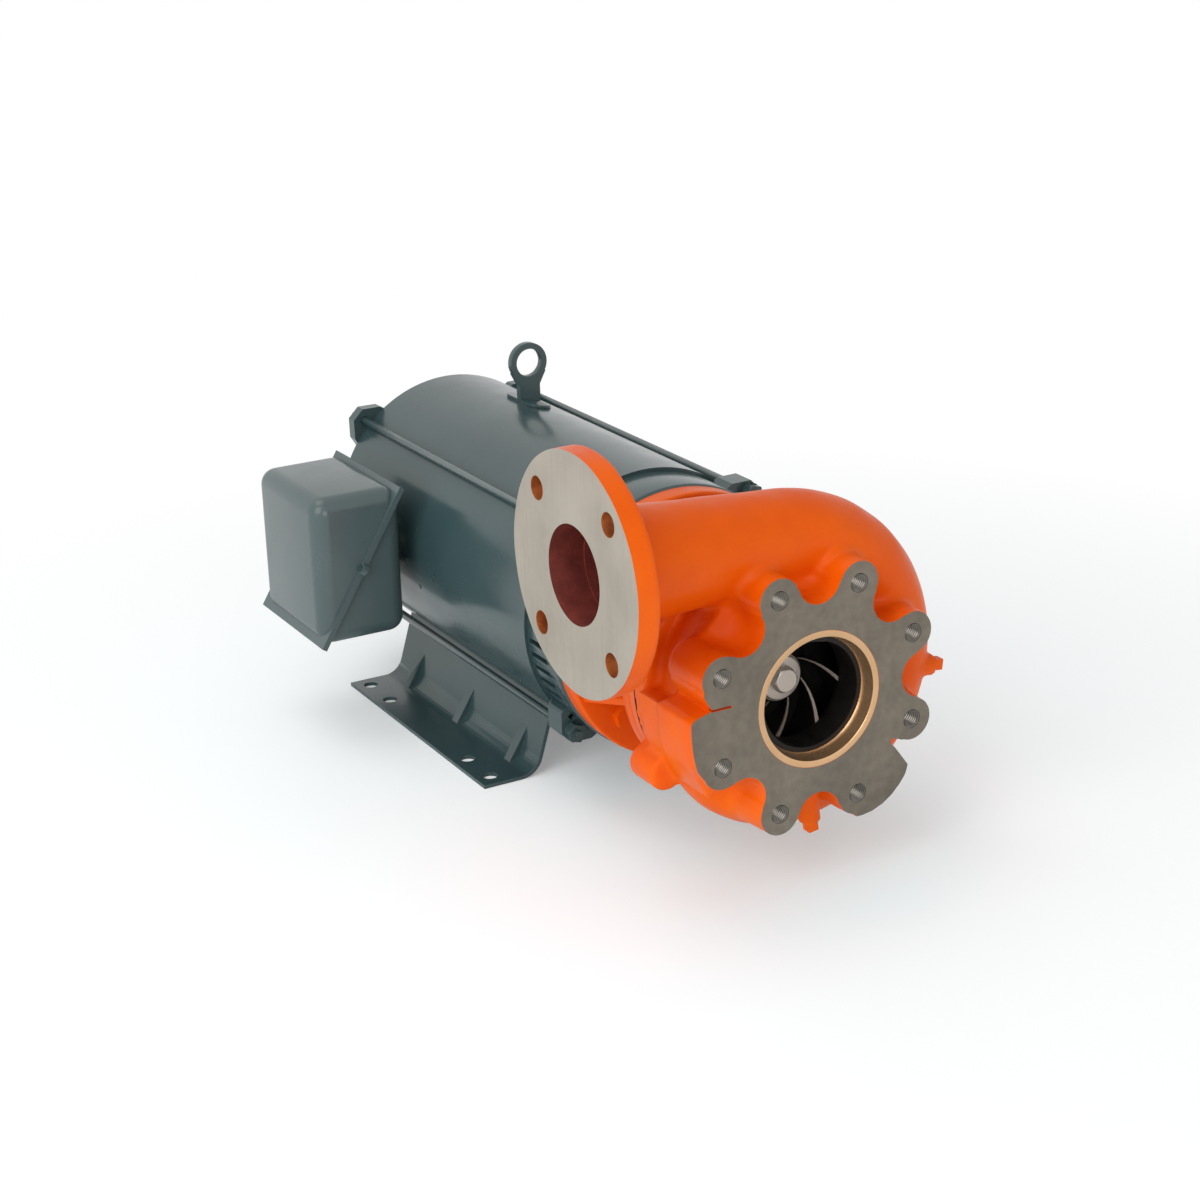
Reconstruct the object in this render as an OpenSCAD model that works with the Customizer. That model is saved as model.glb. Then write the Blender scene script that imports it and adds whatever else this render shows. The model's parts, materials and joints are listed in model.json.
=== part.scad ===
// Close-coupled end-suction centrifugal pump on a footed motor.
// Millimetres. The origin is the centre of the suction face, on the shaft axis.
// +Y runs along the shaft towards the motor, +Z is up, and the discharge points to -X.

/* [Suction end] */
// Diameter of the circle through the suction bolt holes
suction_circle = 190.5; // [188:0.5:194]
// Diameter of the tapped suction holes
suction_hole = 15.9; // [12:0.1:18]
// Depth of the tapped suction holes
suction_hole_depth = 30; // [20:1:34]
// Radius of the round end of each suction lug
lug_r = 17.5; // [16:0.25:18.5]
// Radius of the hub between two lugs
hub_r = 78; // [75:0.5:80]
// Radius of the hollow between two lugs
valley_r = 19; // [17:0.5:19.5]
// How far the lugs run back from the suction face
lug_depth = 46; // [42:1:52]
// How far the two filled corner pads reach outside the bolt circle
pad_reach = 20.5; // [19:0.5:26]
// Width of the relief slit beside each filled pad
slit_w = 4; // [2:0.5:6]
// Depth of the relief slit beside each filled pad
slit_depth = 26; // [12:1:34]

/* [Volute] */
// Distance of the volute's middle plane behind the suction face
volute_y = 62; // [60:0.5:66]
// Half width of the casing, from the middle plane to the back face
volute_half = 36; // [35:0.5:42]
// Thickness of the cast wall around the water passage
cast_wall = 8; // [6:0.5:10]
// Radius of the passage at the end of the scroll
throat_r = 30; // [28:0.5:31]
// Gap between the impeller and the start of the scroll
cutwater_gap = 4; // [3:0.5:6]
// How far the round passage dips into the impeller's chamber
passage_dip = 4; // [3:0.25:5]
// Radius of the machined joint at the back of the casing
joint_r = 108; // [107:0.5:112]
// Radius of the drain and gauge bosses
boss_r = 9; // [8:0.5:11]

/* [Discharge] */
// Outside diameter of the discharge flange
discharge_od = 190.5; // [186:0.5:196]
// Thickness of the discharge flange
discharge_t = 19; // [16:0.5:24]
// Width of the discharge flange outside the circle of its bolts
discharge_rim = 19.05; // [16:0.05:21]
// Diameter of the discharge bolt holes
discharge_hole = 19.05; // [14:0.05:20]
// Diameter of the discharge bore
discharge_bore = 78; // [72:0.5:80]
// Length of the straight part of the discharge bore
discharge_straight = 30; // [22:1:60]
// Distance of the discharge face from the shaft axis
discharge_reach = 177.6; // [170:0.2:190]

/* [Impeller] */
// Radius of the impeller
impeller_r = 84; // [82:0.5:85]
// Radius of the impeller's eye
eye_r = 43.5; // [41:0.5:45]
// Wall around the impeller's eye
eye_wall = 3.5; // [3:0.25:4.5]
// Thickness of the impeller's shrouds
shroud_t = 4; // [3:0.25:5]
// Width of the impeller's outlet between the shrouds
outlet_w = 16; // [13:0.5:17]
// Thickness of the vanes
vane_t = 3.6; // [2.5:0.1:5]
// How far a vane winds for each factor e of radius, in degrees
vane_wrap = 60; // [45:1:75]
// Radius of the impeller's hub
impeller_hub_r = 24; // [22.5:0.5:26]
// Radial clearance at the wear ring
wear_gap = 0.3; // [0.2:0.05:0.6]
// Outside radius of the casing wear ring
wear_ring_r = 56; // [54:0.25:57]
// Length of the casing wear ring
wear_ring_len = 24; // [20:0.5:25]
// Depth of the step in the mouth of the wear ring
wear_step_depth = 10; // [6:0.5:14]
// Width of the wear ring's front face
wear_face = 5.5; // [4:0.25:6]

/* [Shaft and seal] */
// Diameter of the pump end of the shaft
stub_d = 31.75; // [30:0.25:33]
// Side of the square impeller key
key_side = 6.35; // [5:0.05:7]
// Length of the impeller key
key_len = 26; // [18:0.5:30]
// Outside radius of the shaft sleeve
sleeve_r = 20; // [18.5:0.25:21]
// Length of the shaft sleeve
sleeve_len = 58; // [50:1:64]
// Outside radius of the rotating seal head
seal_head_r = 29; // [27:0.5:30]
// Length of the rotating seal head
seal_head_len = 10; // [8:0.5:11]
// Length of the seal spring
spring_len = 9; // [8:0.5:10]
// Radius of the seal spring's wire
spring_wire = 1.2; // [0.8:0.1:1.4]
// Thickness of the stationary seal seat
seat_t = 9; // [7:0.5:10]
// Outside radius of the slinger
slinger_r = 36; // [30:0.5:40]
// Thickness of the slinger's lip
slinger_t = 2.5; // [2:0.25:4]
// Length of the slinger's hub
slinger_len = 12; // [8:0.5:14]
// Wall of the slinger's hub
slinger_wall = 5; // [3:0.5:7]

/* [Cover and adapter] */
// Thickness of the casing gasket
gasket_t = 0.8; // [0.5:0.1:2]
// Thickness of the cover's outer rim
cover_rim_t = 8; // [7:0.5:10]
// Diameter of the screws that hold the casing
casing_screw = 9.5; // [8:0.25:10]
// Diameter of the circle through the casing screws
casing_circle = 197; // [194:0.5:198]
// Length of the adapter, from the cover to the motor's face
adapter_len = 105.2; // [96:0.2:120]
// Thickness of the adapter's front flange
adapter_flange_t = 12; // [10:0.5:16]
// Thickness of the adapter's motor plate
adapter_plate_t = 20; // [16:0.5:24]
// Width of the adapter's motor plate outside the centring step
plate_rim = 7.85; // [6:0.05:9]
// Outside radius of the adapter's barrel at its front flange
barrel_front_r = 88; // [86:0.5:90]
// Gap between the adapter's barrel and the heads of the motor screws
barrel_gap = 3.1; // [3.1:0.1:6]
// Wall of the adapter's barrel
barrel_wall = 8; // [6:0.5:10]
// Thickness of the adapter's ribs
rib_t = 7; // [5:0.5:9]
// Angle that each window in the adapter's barrel spans
window_angle = 28; // [16:1:32]

/* [Motor] */
// Height of the shaft above the feet
shaft_height = 158.75; // [157:0.25:162]
// Radius of the motor shell
shell_r = 120; // [119.5:0.25:122]
// Wall of the motor shell
shell_wall = 3; // [2.5:0.25:4]
// Length of the motor shell
shell_len = 380; // [370:1:400]
// How far the centring step on the motor's face lies inside the rim
register_step = 9.05; // [7:0.05:12]
// Height of the centring step
register_h = 6; // [4:0.5:8]
// How far the motor face's screws lie inside the centring step
face_inset = 15.875; // [14:0.125:18]
// Diameter of the motor face's screws
face_screw = 12.7; // [10:0.1:14]
// Length of the front bracket, from the face to the shell
front_bracket_len = 48; // [46:0.5:54]
// Depth of the rear bracket behind the shell
rear_bracket_len = 50; // [46:0.5:56]
// Wall of the brackets
bracket_wall = 7; // [5:0.5:9]
// How far the brackets reach into the shell
spigot_len = 9; // [6:0.5:12]
// Width of a louvre slot in the brackets
louvre_w = 5; // [3:0.25:6]
// Angle between two louvre slots
louvre_pitch = 6; // [5:0.25:6.5]
// Gap between the shell and the tie rods
rod_gap = 3.2; // [2:0.1:7]
// Diameter of the tie rods
rod_d = 7; // [6:0.25:8.5]
// Depth of the stator core from the shell to its bore
stator_depth = 41; // [37:0.5:45]
// Length of the stator and rotor cores
core_len = 210; // [180:2:230]
// Air gap between rotor and stator
air_gap = 0.6; // [0.4:0.1:1]

/* [Bearings] */
// Bore radius of the front bearing
front_bore_r = 22.5; // [22:0.25:23.5]
// Outside radius of the front bearing
front_race_r = 50; // [49:0.25:52]
// Width of the front bearing
front_bearing_w = 25; // [23:0.5:26]
// Bore radius of the rear bearing
rear_bore_r = 20; // [19.5:0.25:21]
// Outside radius of the rear bearing
rear_race_r = 40; // [39:0.25:42]
// Width of the rear bearing
rear_bearing_w = 18; // [17:0.5:20]
// Running gap between a ball and its track
ball_gap = 0.12; // [0.08:0.02:0.2]

/* [Base] */
// Thickness of the pressed base
base_t = 3.5; // [3:0.25:4.5]
// Half width over the feet
foot_edge = 141; // [140:0.5:145]
// Length of the base
base_len = 286.7; // [280:0.5:300]
// Distance of the base's middle behind the middle of the shell
base_offset = 1.1; // [-4:0.1:6]
// Distance between the foot holes across the shaft
foot_span_x = 254; // [252:0.5:258]
// Distance between the outer foot holes along the shaft
foot_span_long = 254; // [248:0.5:260]
// Distance between the inner foot holes along the shaft
foot_span_short = 165.1; // [155:0.1:175]
// Diameter of the foot holes
foot_hole = 13.5; // [11:0.25:15]
// Inside radius of the bend between foot and web
bend_r = 18.5; // [14:0.5:22]
// Slope of the web from upright, in degrees
web_slope = 17; // [14:0.5:20]
// How far the bend's centre lies inside the side of the shell
bend_inset = 16; // [13:0.5:18]
// Distance between the pressed darts
dart_pitch = 105.5; // [90:0.5:120]
// Width of a pressed dart
dart_w = 11; // [6:0.5:14]
// Height of a pressed dart
dart_h = 36; // [24:1:40]

/* [Lifting eye] */
// Thickness of the eye plate
eye_plate_t = 7; // [5:0.5:9]
// Diameter of the hole in the eye
eye_hole = 26; // [20:0.5:28]
// Radius of the ring around the hole
eye_ring_r = 18.5; // [16.5:0.5:21]
// Width of the neck below the ring
eye_neck = 21; // [16:0.5:26]
// Height of the eye's hole above its foot
eye_height = 38.4; // [36:0.2:46]
// Thickness of the oval foot that carries the eye
saddle_h = 3; // [2:0.25:5]
// Length of the oval foot
saddle_len = 60; // [50:1:70]
// Width of the oval foot
saddle_w = 24; // [22:0.5:30]
// Distance of the eye behind the middle of the shell
eye_offset = 66; // [50:1:80]
// How far the eye stands beside the top of the shell
eye_side = 25; // [18:0.5:30]

/* [Conduit box] */
// Diameter of the screws that hold the box's cover
box_screw = 3.5; // [3:0.1:4]
// Length of the box along the shaft
box_len = 135; // [125:1:150]
// Depth of the box away from the shell
box_depth = 85; // [75:1:95]
// Height of the box
box_height = 137; // [120:1:145]
// Height of the box's middle above the shaft
box_z = 7.5; // [2:0.5:14]
// Distance of the box's middle behind the middle of the shell
box_offset = 79.5; // [60:0.5:90]
// Gap between the shell and the box
box_gap = 15; // [10:0.5:20]
// Wall of the box
box_wall = 2.5; // [1.5:0.25:3]
// Radius of the box's rounded edges
box_round = 15; // [10:0.5:18]
// Width of the lips where cover and base meet
lip_w = 3.5; // [3:0.25:5]
// Radius of the ear around each cover screw
box_ear_r = 5.5; // [5:0.25:7]
// Thickness of each lip
lip_t = 2.5; // [1.5:0.25:3]
// Radius of the neck between shell and box
neck_r = 24; // [20:0.5:28]

/* [Hidden] */
$fn = 64;

orange = "darkorange";
motor_grey = "slategray";
bare_steel = "silver";
cut_iron = "dimgray";
bronze = "peru";
black_rubber = "black";

lug_count = 8;
lug_first = 22.5;
bolt_r = suction_circle / 2;
eps = 0.01;

// Scroll of the volute, turned from the tongue at the left, down, round and up to the top
scroll_start = 180;
scroll_turn = 270;
scroll_steps = 30;
scroll_sides = 20;
cast_fn = 36;
scroll_base_r = impeller_r + cutwater_gap;
throat_z = scroll_base_r + throat_r - passage_dip;
nozzle_rise = 4.3;
discharge_z = throat_z + nozzle_rise;
discharge_circle = discharge_od - 2 * discharge_rim;
nozzle_tilt = atan2(nozzle_rise, discharge_reach);
nozzle_lead = 4;
function passage_r(t) = throat_r * sqrt(t);
back_y = volute_y + volute_half;
body_r = scroll_base_r + cast_wall;
drum_back = volute_y + 18;
casting_len = max(back_y, volute_y + discharge_bore / 2 + cast_wall);
casing_thread = 8;
plug_gap = 0.4;

// Stations along the shaft
cover_y = back_y + gasket_t;
adapter_y = cover_y + cover_rim_t;
motor_y = adapter_y + adapter_len;
plate_y = motor_y - adapter_plate_t;
shell_y = motor_y + front_bracket_len;
shell_end = shell_y + shell_len;
mid_y = shell_y + shell_len / 2;
rear_y = shell_end + rear_bracket_len;

// Radii that follow the motor's shell, from the shell inwards and outwards
rim_r = shell_r - shell_wall;
stator_bore_r = rim_r - stator_depth;
register_r = rim_r - register_step;
face_circle = 2 * (register_r - face_inset);
adapter_plate_r = register_r + plate_rim;
barrel_back_r = face_circle / 2 - face_screw * 0.75 / cos(30) - barrel_gap;
rod_circle_r = shell_r + rod_gap + rod_d / 2;
ear_r = rod_circle_r + rod_d / 2 + 5;
bend_x = shell_r - bend_inset;

// Impeller stations
shroud_y = volute_y - outlet_w / 2;
disc_y = volute_y + outlet_w / 2;
hub_nose_y = volute_y - 6;
hub_back_y = back_y - 6;
eye_face_y = wear_step_depth + 2;
eye_outer_r = eye_r + eye_wall;
wear_bore_r = eye_outer_r + wear_gap;
washer_t = 3;
washer_r = 18;
screw_head_h = 8;
screw_head_af = 19;
screw_d = 12.7;
screw_len = 34;
shaft_tip_y = hub_nose_y + 2;
stub_r = stub_d / 2;

// Seal stations
seal_gap = 1.2;
head_y = hub_back_y + spring_len;
seat_y = head_y + seal_head_len;
cup_t = 3;
seat_r = seal_head_r - 3;
cup_r = seat_r + cup_t;
cover_back_y = seat_y + seat_t + cup_t + 5;
chamber_r = seal_head_r + 4;
plug_front_y = disc_y + shroud_t + 7;
shoulder_y = hub_back_y + sleeve_len;

// Bearing stations
cap_t = 8;
front_bearing_y = motor_y + 14;
front_bearing_end = front_bearing_y + front_bearing_w;
rear_bearing_y = shell_end + 14;
rear_bearing_end = rear_bearing_y + rear_bearing_w;
washer_gap = 2;
shaft_core_r = 28;
core_y = mid_y - core_len / 2;
core_end = core_y + core_len;
winding_len = 36;
fan_len = 24;

// Screw counts and rings
casing_screw_count = 8;
face_screw_count = 4;
rod_count = 4;
screw_clear = 0.4;

// Shapes turned about or drawn across the shaft axis

module turned(profile) {
    rotate([-90, 0, 0]) rotate_extrude() polygon(profile);
}

module pole(r, y0, y1) {
    translate([0, y0, 0]) rotate([-90, 0, 0]) cylinder(r = r, h = y1 - y0);
}

module tube(r_out, r_in, y0, y1) {
    turned([[r_in, y0], [r_out, y0], [r_out, y1], [r_in, y1]]);
}

// Extrudes an outline drawn in X and Z, as seen from the suction side, from y0 to y1
module slab(y0, y1) {
    translate([0, y1, 0]) rotate([90, 0, 0]) linear_extrude(y1 - y0) children();
}

module around(count, radius, first = 0) {
    for (i = [0 : count - 1])
        rotate([0, -(first + i * 360 / count), 0])
            translate([radius, 0, 0]) children();
}

module hex_prism(af, y0, y1) {
    translate([0, y0, 0]) rotate([-90, 0, 0]) cylinder(d = af / cos(30), h = y1 - y0, $fn = 6);
}

function polar(r, a) = [r * cos(a), r * sin(a)];

function arc(r, a0, a1, steps) = [for (i = [0 : steps]) polar(r, a0 + (a1 - a0) * i / steps)];

// Quarter of an ellipse, from axial at [r0, y0] to radial at [r1, y1]
function quarter(r0, y0, r1, y1, steps = 10) =
    [for (i = [0 : steps]) let (a = 90 * i / steps) [r1 - (r1 - r0) * cos(a), y0 + (y1 - y0) * sin(a)]];

function reversed(list) = [for (i = [len(list) - 1 : -1 : 0]) list[i]];

// Closed tube through a list of rings with equal numbers of points
module skin(rings) {
    n = len(rings[0]);
    m = len(rings);
    points = [for (ring = rings) each ring];
    sides = [
        for (i = [0 : m - 2])
            for (j = [0 : n - 1])
                [i * n + j, i * n + (j + 1) % n, (i + 1) * n + (j + 1) % n, (i + 1) * n + j]
    ];
    first_cap = [for (j = [n - 1 : -1 : 0]) j];
    last_cap = [for (j = [0 : n - 1]) (m - 1) * n + j];
    polyhedron(points, concat(sides, [first_cap, last_cap]), convexity = 6);
}

// One ring of the scroll, where t runs from 0 at the tongue to 1 at the throat
function scroll_ring(t, wall) =
    let (
        a = scroll_start + t * scroll_turn,
        r = passage_r(t) + wall,
        middle = scroll_base_r + passage_r(t) - passage_dip
    )
    [for (j = [0 : scroll_sides - 1])
        let (b = -360 * j / scroll_sides, d = middle + r * cos(b))
        [d * cos(a), volute_y + r * sin(b), d * sin(a)]];

module scroll(wall, first) {
    skin([for (i = [first : scroll_steps]) scroll_ring(i / scroll_steps, wall)]);
}

// Cone along the discharge nozzle, from radius r1 at the throat to r2 at the given reach
module nozzle(r1, r2, reach) {
    translate([0, volute_y, throat_z]) rotate([0, -90 + nozzle_tilt, 0])
        translate([0, 0, -nozzle_lead]) cylinder(r1 = r1, r2 = r2, h = reach + nozzle_lead);
}

module at_discharge() {
    translate([-discharge_reach, volute_y, discharge_z]) rotate([0, 90, 0]) children();
}

// Outline of the suction face: a hub with eight lugs, two of them widened into pads
module suction_outline() {
    outer = bolt_r + pad_reach;
    difference() {
        union() {
            circle(r = bolt_r);
            for (i = [0 : lug_count - 1])
                rotate(lug_first + i * 360 / lug_count)
                    translate([bolt_r, 0]) circle(r = lug_r);
        }
        for (i = [0 : lug_count - 1])
            rotate(i * 360 / lug_count)
                translate([hub_r + valley_r, 0]) circle(r = valley_r);
    }
    polygon(concat([[0, 0]], arc(outer, 177, 201, 12)));
    polygon(concat(
        [[0, 0], polar(outer - 17, -39), polar(outer - 1, -42)],
        arc(outer + 5, -48, -64, 8),
        [polar(outer, -72), polar(bolt_r, -78)]
    ));
}

module relief_slit(angle, inner) {
    rotate([0, -angle, 0])
        translate([inner, -eps, -slit_w / 2]) cube([40, slit_depth, slit_w]);
}

// Hollow inside the casing that the impeller turns in
module casing_hollow() {
    front_wall = volute_y - outlet_w / 2 - shroud_t - 5;
    turned(concat(
        [[0, -1], [wear_ring_r - 2, -1], [wear_ring_r - 2, wear_ring_len]],
        quarter(wear_ring_r - 3.5, wear_ring_len + 2, scroll_base_r, front_wall),
        [[scroll_base_r, back_y + 1], [0, back_y + 1]]
    ));
}

// Round boss on the scroll with its axis pointing out at the given angle
module scroll_boss(angle, y, reach) {
    rotate([0, -angle, 0]) translate([0, y, 0]) rotate([0, 90, 0])
        translate([0, 0, scroll_base_r + cast_wall]) cylinder(r = boss_r, h = reach - scroll_base_r - cast_wall);
}

gauge_angle = -6;
gauge_reach = scroll_base_r + 50.5;
gauge_y = volute_y - 20;
drain_angle = -82;
drain_reach = scroll_base_r + 34.5;
drain_y = volute_y - 24;
plug_thread_r = 5;
plug_depth = 8;
plug_head = 9;
plug_head_h = 9;

module plug_hole(angle, y, reach) {
    rotate([0, -angle, 0]) translate([reach - plug_depth, y, 0]) rotate([0, 90, 0])
        cylinder(r = plug_thread_r, h = plug_depth + 1);
}

module pipe_plug(angle, y, reach) {
    rotate([0, -angle, 0]) translate([reach, y, 0]) {
        translate([-plug_depth, 0, 0]) rotate([0, 90, 0]) cylinder(r = plug_thread_r, h = plug_depth);
        rotate([0, 90, 0]) cylinder(r = boss_r - 2.5, h = 2);
        translate([2, -plug_head / 2, -plug_head / 2]) cube([plug_head_h - 2, plug_head, plug_head]);
    }
}

joint_boss_angle = 210;
joint_boss_r = 15;
joint_boss_ring = joint_r + 10;

// Raw casting between the suction face and the back joint, hollow for the water
module raw_casting() {
    difference() {
        union() {
            scroll(cast_wall, 1);
            nozzle(throat_r + cast_wall - 1, discharge_bore / 2 + cast_wall, discharge_reach - discharge_t / 2);
            slab(0, lug_depth) suction_outline();
            turned([[0, 20], [hub_r - 4, 20], [body_r, lug_depth - 4], [body_r, back_y], [0, back_y]]);
            pole(joint_r, drum_back, back_y);
            slab(8, drum_back) polygon(concat([[0, 0]], arc(bolt_r + pad_reach - 1, 177, 214, 14)));
            slab(volute_y - 4, back_y - 4)
                rotate(joint_boss_angle) {
                    translate([joint_boss_ring, 0]) circle(r = joint_boss_r);
                    translate([0, -joint_boss_r]) square([joint_boss_ring, 2 * joint_boss_r]);
                }
            scroll_boss(gauge_angle, gauge_y, gauge_reach);
            scroll_boss(drain_angle, drain_y, drain_reach);
        }
        scroll(0, 1);
        nozzle(throat_r + 1, discharge_bore / 2 - 1, discharge_reach);
        casing_hollow();
        relief_slit(171.5, hub_r + 4);
        relief_slit(-37.5, hub_r + 9);
        pole(joint_r + 1, back_y, back_y + 30);
    }
}

module volute_casing() {
    color(orange) difference() {
        union() {
            resize([0, casting_len, 0]) raw_casting($fn = cast_fn);
            at_discharge() cylinder(d = discharge_od, h = discharge_t);
        }
        at_discharge() translate([0, 0, -1]) cylinder(d = discharge_bore, h = discharge_straight + 1);
        pole(wear_ring_r, -1, wear_ring_len);
        around(lug_count, bolt_r, lug_first) pole(suction_hole / 2, -1, suction_hole_depth);
        at_discharge() for (i = [0 : 3])
            rotate(45 + 90 * i) translate([discharge_circle / 2, 0, -1])
                cylinder(d = discharge_hole, h = discharge_t + 2);
        around(casing_screw_count, casing_circle / 2) pole(casing_screw / 2, back_y - casing_thread - 1, back_y + 1);
        plug_hole(gauge_angle, gauge_y, gauge_reach);
        plug_hole(drain_angle, drain_y, drain_reach);
    }
}

module casing_wear_ring() {
    color(bronze) turned([
        [wear_ring_r - wear_face, 0],
        [wear_ring_r, 0],
        [wear_ring_r, wear_ring_len],
        [wear_bore_r, wear_ring_len],
        [wear_bore_r, wear_step_depth],
        [wear_ring_r - wear_face, wear_step_depth - 2]
    ]);
}

module drain_plug() {
    color(orange) pipe_plug(drain_angle, drain_y, drain_reach);
}

module gauge_plug() {
    color(orange) pipe_plug(gauge_angle, gauge_y, gauge_reach);
}

module casing_gasket() {
    color(black_rubber) difference() {
        tube(joint_r, scroll_base_r, back_y, cover_y);
        around(casing_screw_count, casing_circle / 2)
            pole(casing_screw / 2 + screw_clear, back_y - 1, cover_y + 1);
    }
}

module casing_cover() {
    color(cut_iron) difference() {
        turned([
            [chamber_r, plug_front_y],
            [scroll_base_r - plug_gap, plug_front_y],
            [scroll_base_r - plug_gap, cover_y],
            [joint_r, cover_y],
            [joint_r, adapter_y],
            [barrel_front_r - barrel_wall - 6, adapter_y],
            [chamber_r + 24, adapter_y + 2],
            [chamber_r + 7, adapter_y + 8],
            [chamber_r + 7, cover_back_y],
            [sleeve_r + 3, cover_back_y],
            [sleeve_r + 3, seat_y + seat_t + cup_t],
            [cup_r, seat_y + seat_t + cup_t],
            [cup_r, seat_y],
            [chamber_r, seat_y - 2]
        ]);
        around(casing_screw_count, casing_circle / 2)
            pole(casing_screw / 2 + screw_clear, cover_y - 1, adapter_y + 1);
    }
}

module seal_seat_cup() {
    color(black_rubber) turned([
        [seat_r, seat_y + 1],
        [cup_r, seat_y + 1],
        [cup_r, seat_y + seat_t + cup_t],
        [sleeve_r + 3, seat_y + seat_t + cup_t],
        [sleeve_r + 3, seat_y + seat_t],
        [seat_r, seat_y + seat_t]
    ]);
}

module seal_seat() {
    color("white") tube(seat_r, sleeve_r + seal_gap, seat_y, seat_y + seat_t);
}

module casing_screws() {
    head_y0 = adapter_y + adapter_flange_t;
    color(bare_steel) around(casing_screw_count, casing_circle / 2) {
        pole(casing_screw / 2, back_y - casing_thread, head_y0);
        hex_prism(casing_screw * 1.5, head_y0, head_y0 + casing_screw * 0.65);
    }
}

module motor_adapter() {
    screw_r = face_circle / 2;
    color(orange) difference() {
        union() {
            pole(joint_r, adapter_y, adapter_y + adapter_flange_t);
            turned([
                [0, adapter_y],
                [barrel_front_r, adapter_y],
                [barrel_front_r, adapter_y + adapter_flange_t],
                [barrel_back_r, plate_y],
                [0, plate_y]
            ]);
            turned([
                [0, plate_y - 6],
                [barrel_back_r, plate_y - 6],
                [barrel_back_r + 3, plate_y],
                [adapter_plate_r - 1.5, plate_y],
                [adapter_plate_r, plate_y + 1.5],
                [adapter_plate_r, motor_y],
                [0, motor_y]
            ]);
            around(casing_screw_count, 0, lug_first) adapter_rib();
        }
        turned([
            [0, adapter_y - 1],
            [barrel_front_r - barrel_wall - 4, adapter_y - 1],
            [barrel_front_r - barrel_wall - 4, adapter_y + adapter_flange_t],
            [barrel_back_r - barrel_wall, plate_y],
            [barrel_back_r - barrel_wall, motor_y - register_h],
            [0, motor_y - register_h]
        ]);
        pole(register_r, motor_y - register_h, motor_y + 1);
        around(casing_screw_count, casing_circle / 2)
            pole(casing_screw / 2 + screw_clear, adapter_y - 1, adapter_y + adapter_flange_t + 1);
        around(face_screw_count, screw_r, 45)
            pole(face_screw / 2 + screw_clear, plate_y - 1, motor_y + 1);
        for (i = [0 : 3]) rotate([0, -90 * i, 0]) adapter_window();
    }
}

// Rib between two screws, from the front flange to the motor plate
module adapter_rib() {
    translate([0, 0, -rib_t / 2]) linear_extrude(rib_t) polygon([
        [barrel_back_r - barrel_wall / 2, adapter_y + 2],
        [joint_r - 3, adapter_y + 2],
        [joint_r - 3, adapter_y + adapter_flange_t],
        [barrel_front_r + 4, (adapter_y + plate_y) / 2],
        [adapter_plate_r - 5, plate_y],
        [adapter_plate_r - 5, plate_y + 4],
        [barrel_back_r - barrel_wall / 2, plate_y + 4]
    ]);
}

module adapter_window() {
    slab(adapter_y + adapter_flange_t + 10, plate_y - 12)
        polygon(concat([[0, 0]], arc(adapter_plate_r, -window_angle / 2, window_angle / 2, 4)));
}

module adapter_screws() {
    color(bare_steel) around(face_screw_count, face_circle / 2, 45) {
        pole(face_screw / 2, plate_y, motor_y + 18);
        hex_prism(face_screw * 1.5, plate_y - face_screw * 0.6, plate_y);
    }
}

// Passage between the shrouds, as a profile of radius and distance along the shaft
module vane_zone() {
    turned(concat(
        quarter(eye_r + 1, volute_y - 26, impeller_r, shroud_y - 1.5),
        reversed(quarter(impeller_hub_r - 3, hub_nose_y, impeller_r, disc_y + 1.5))
    ));
}

// One backward-curved vane, thinned to its leading edge near the hub
vane_start_r = 20;
vane_steps = 14;

function vane_point(r, shift) = polar(r, -vane_wrap * ln(r / vane_start_r) + shift * 57.3 / r);

module vane_outline() {
    radii = [for (i = [0 : vane_steps]) vane_start_r + (impeller_r - vane_start_r) * i / vane_steps];
    function half(i) = vane_t / 2 * (0.35 + 0.65 * min(1, i / 5));
    polygon(concat(
        [for (i = [0 : vane_steps]) vane_point(radii[i], half(i))],
        [for (i = [vane_steps : -1 : 0]) vane_point(radii[i], -half(i))]
    ));
}

vane_count = 7;

module impeller() {
    color(bare_steel) difference() {
        union() {
            turned(concat(
                [[eye_r, eye_face_y], [eye_outer_r, eye_face_y]],
                quarter(eye_outer_r, volute_y - 30, impeller_r, shroud_y - shroud_t),
                reversed(quarter(eye_r, volute_y - 26, impeller_r, shroud_y))
            ));
            turned(concat(
                [[0, hub_nose_y]],
                quarter(impeller_hub_r - 4, hub_nose_y, impeller_r, disc_y),
                [
                    [impeller_r, disc_y + shroud_t],
                    [impeller_hub_r + 6, disc_y + shroud_t],
                    [impeller_hub_r, disc_y + shroud_t + 6],
                    [impeller_hub_r, hub_back_y],
                    [0, hub_back_y]
                ]
            ));
            intersection() {
                vane_zone();
                slab(volute_y - 30, disc_y + shroud_t)
                    for (i = [0 : vane_count - 1]) rotate(40 + i * 360 / vane_count) vane_outline();
            }
        }
        pole(stub_r, hub_nose_y - 1, hub_back_y + 1);
        key_block(0);
    }
}

module key_block(extra) {
    translate([-key_side / 2, hub_back_y - key_len - extra, stub_r - key_side / 2])
        cube([key_side, key_len + 2 * extra, key_side]);
}

module impeller_key() {
    color(bare_steel) key_block(0);
}

module impeller_washer() {
    color(bare_steel) tube(washer_r, screw_d / 2 + 0.3, hub_nose_y - washer_t, hub_nose_y);
}

module impeller_screw() {
    head_y0 = hub_nose_y - washer_t - screw_head_h;
    color(bare_steel) union() {
        intersection() {
            hex_prism(screw_head_af, head_y0, head_y0 + screw_head_h);
            turned([[0, head_y0], [9, head_y0], [11.2, head_y0 + 1.6], [11.2, head_y0 + screw_head_h], [0, head_y0 + screw_head_h]]);
        }
        pole(screw_d / 2, head_y0 + screw_head_h, shaft_tip_y + screw_len);
    }
}

module shaft_sleeve() {
    color(bronze) tube(sleeve_r, stub_r, hub_back_y, shoulder_y);
}

spring_turns = 3;
spring_sides = 6;
spring_steps = 48;

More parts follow.
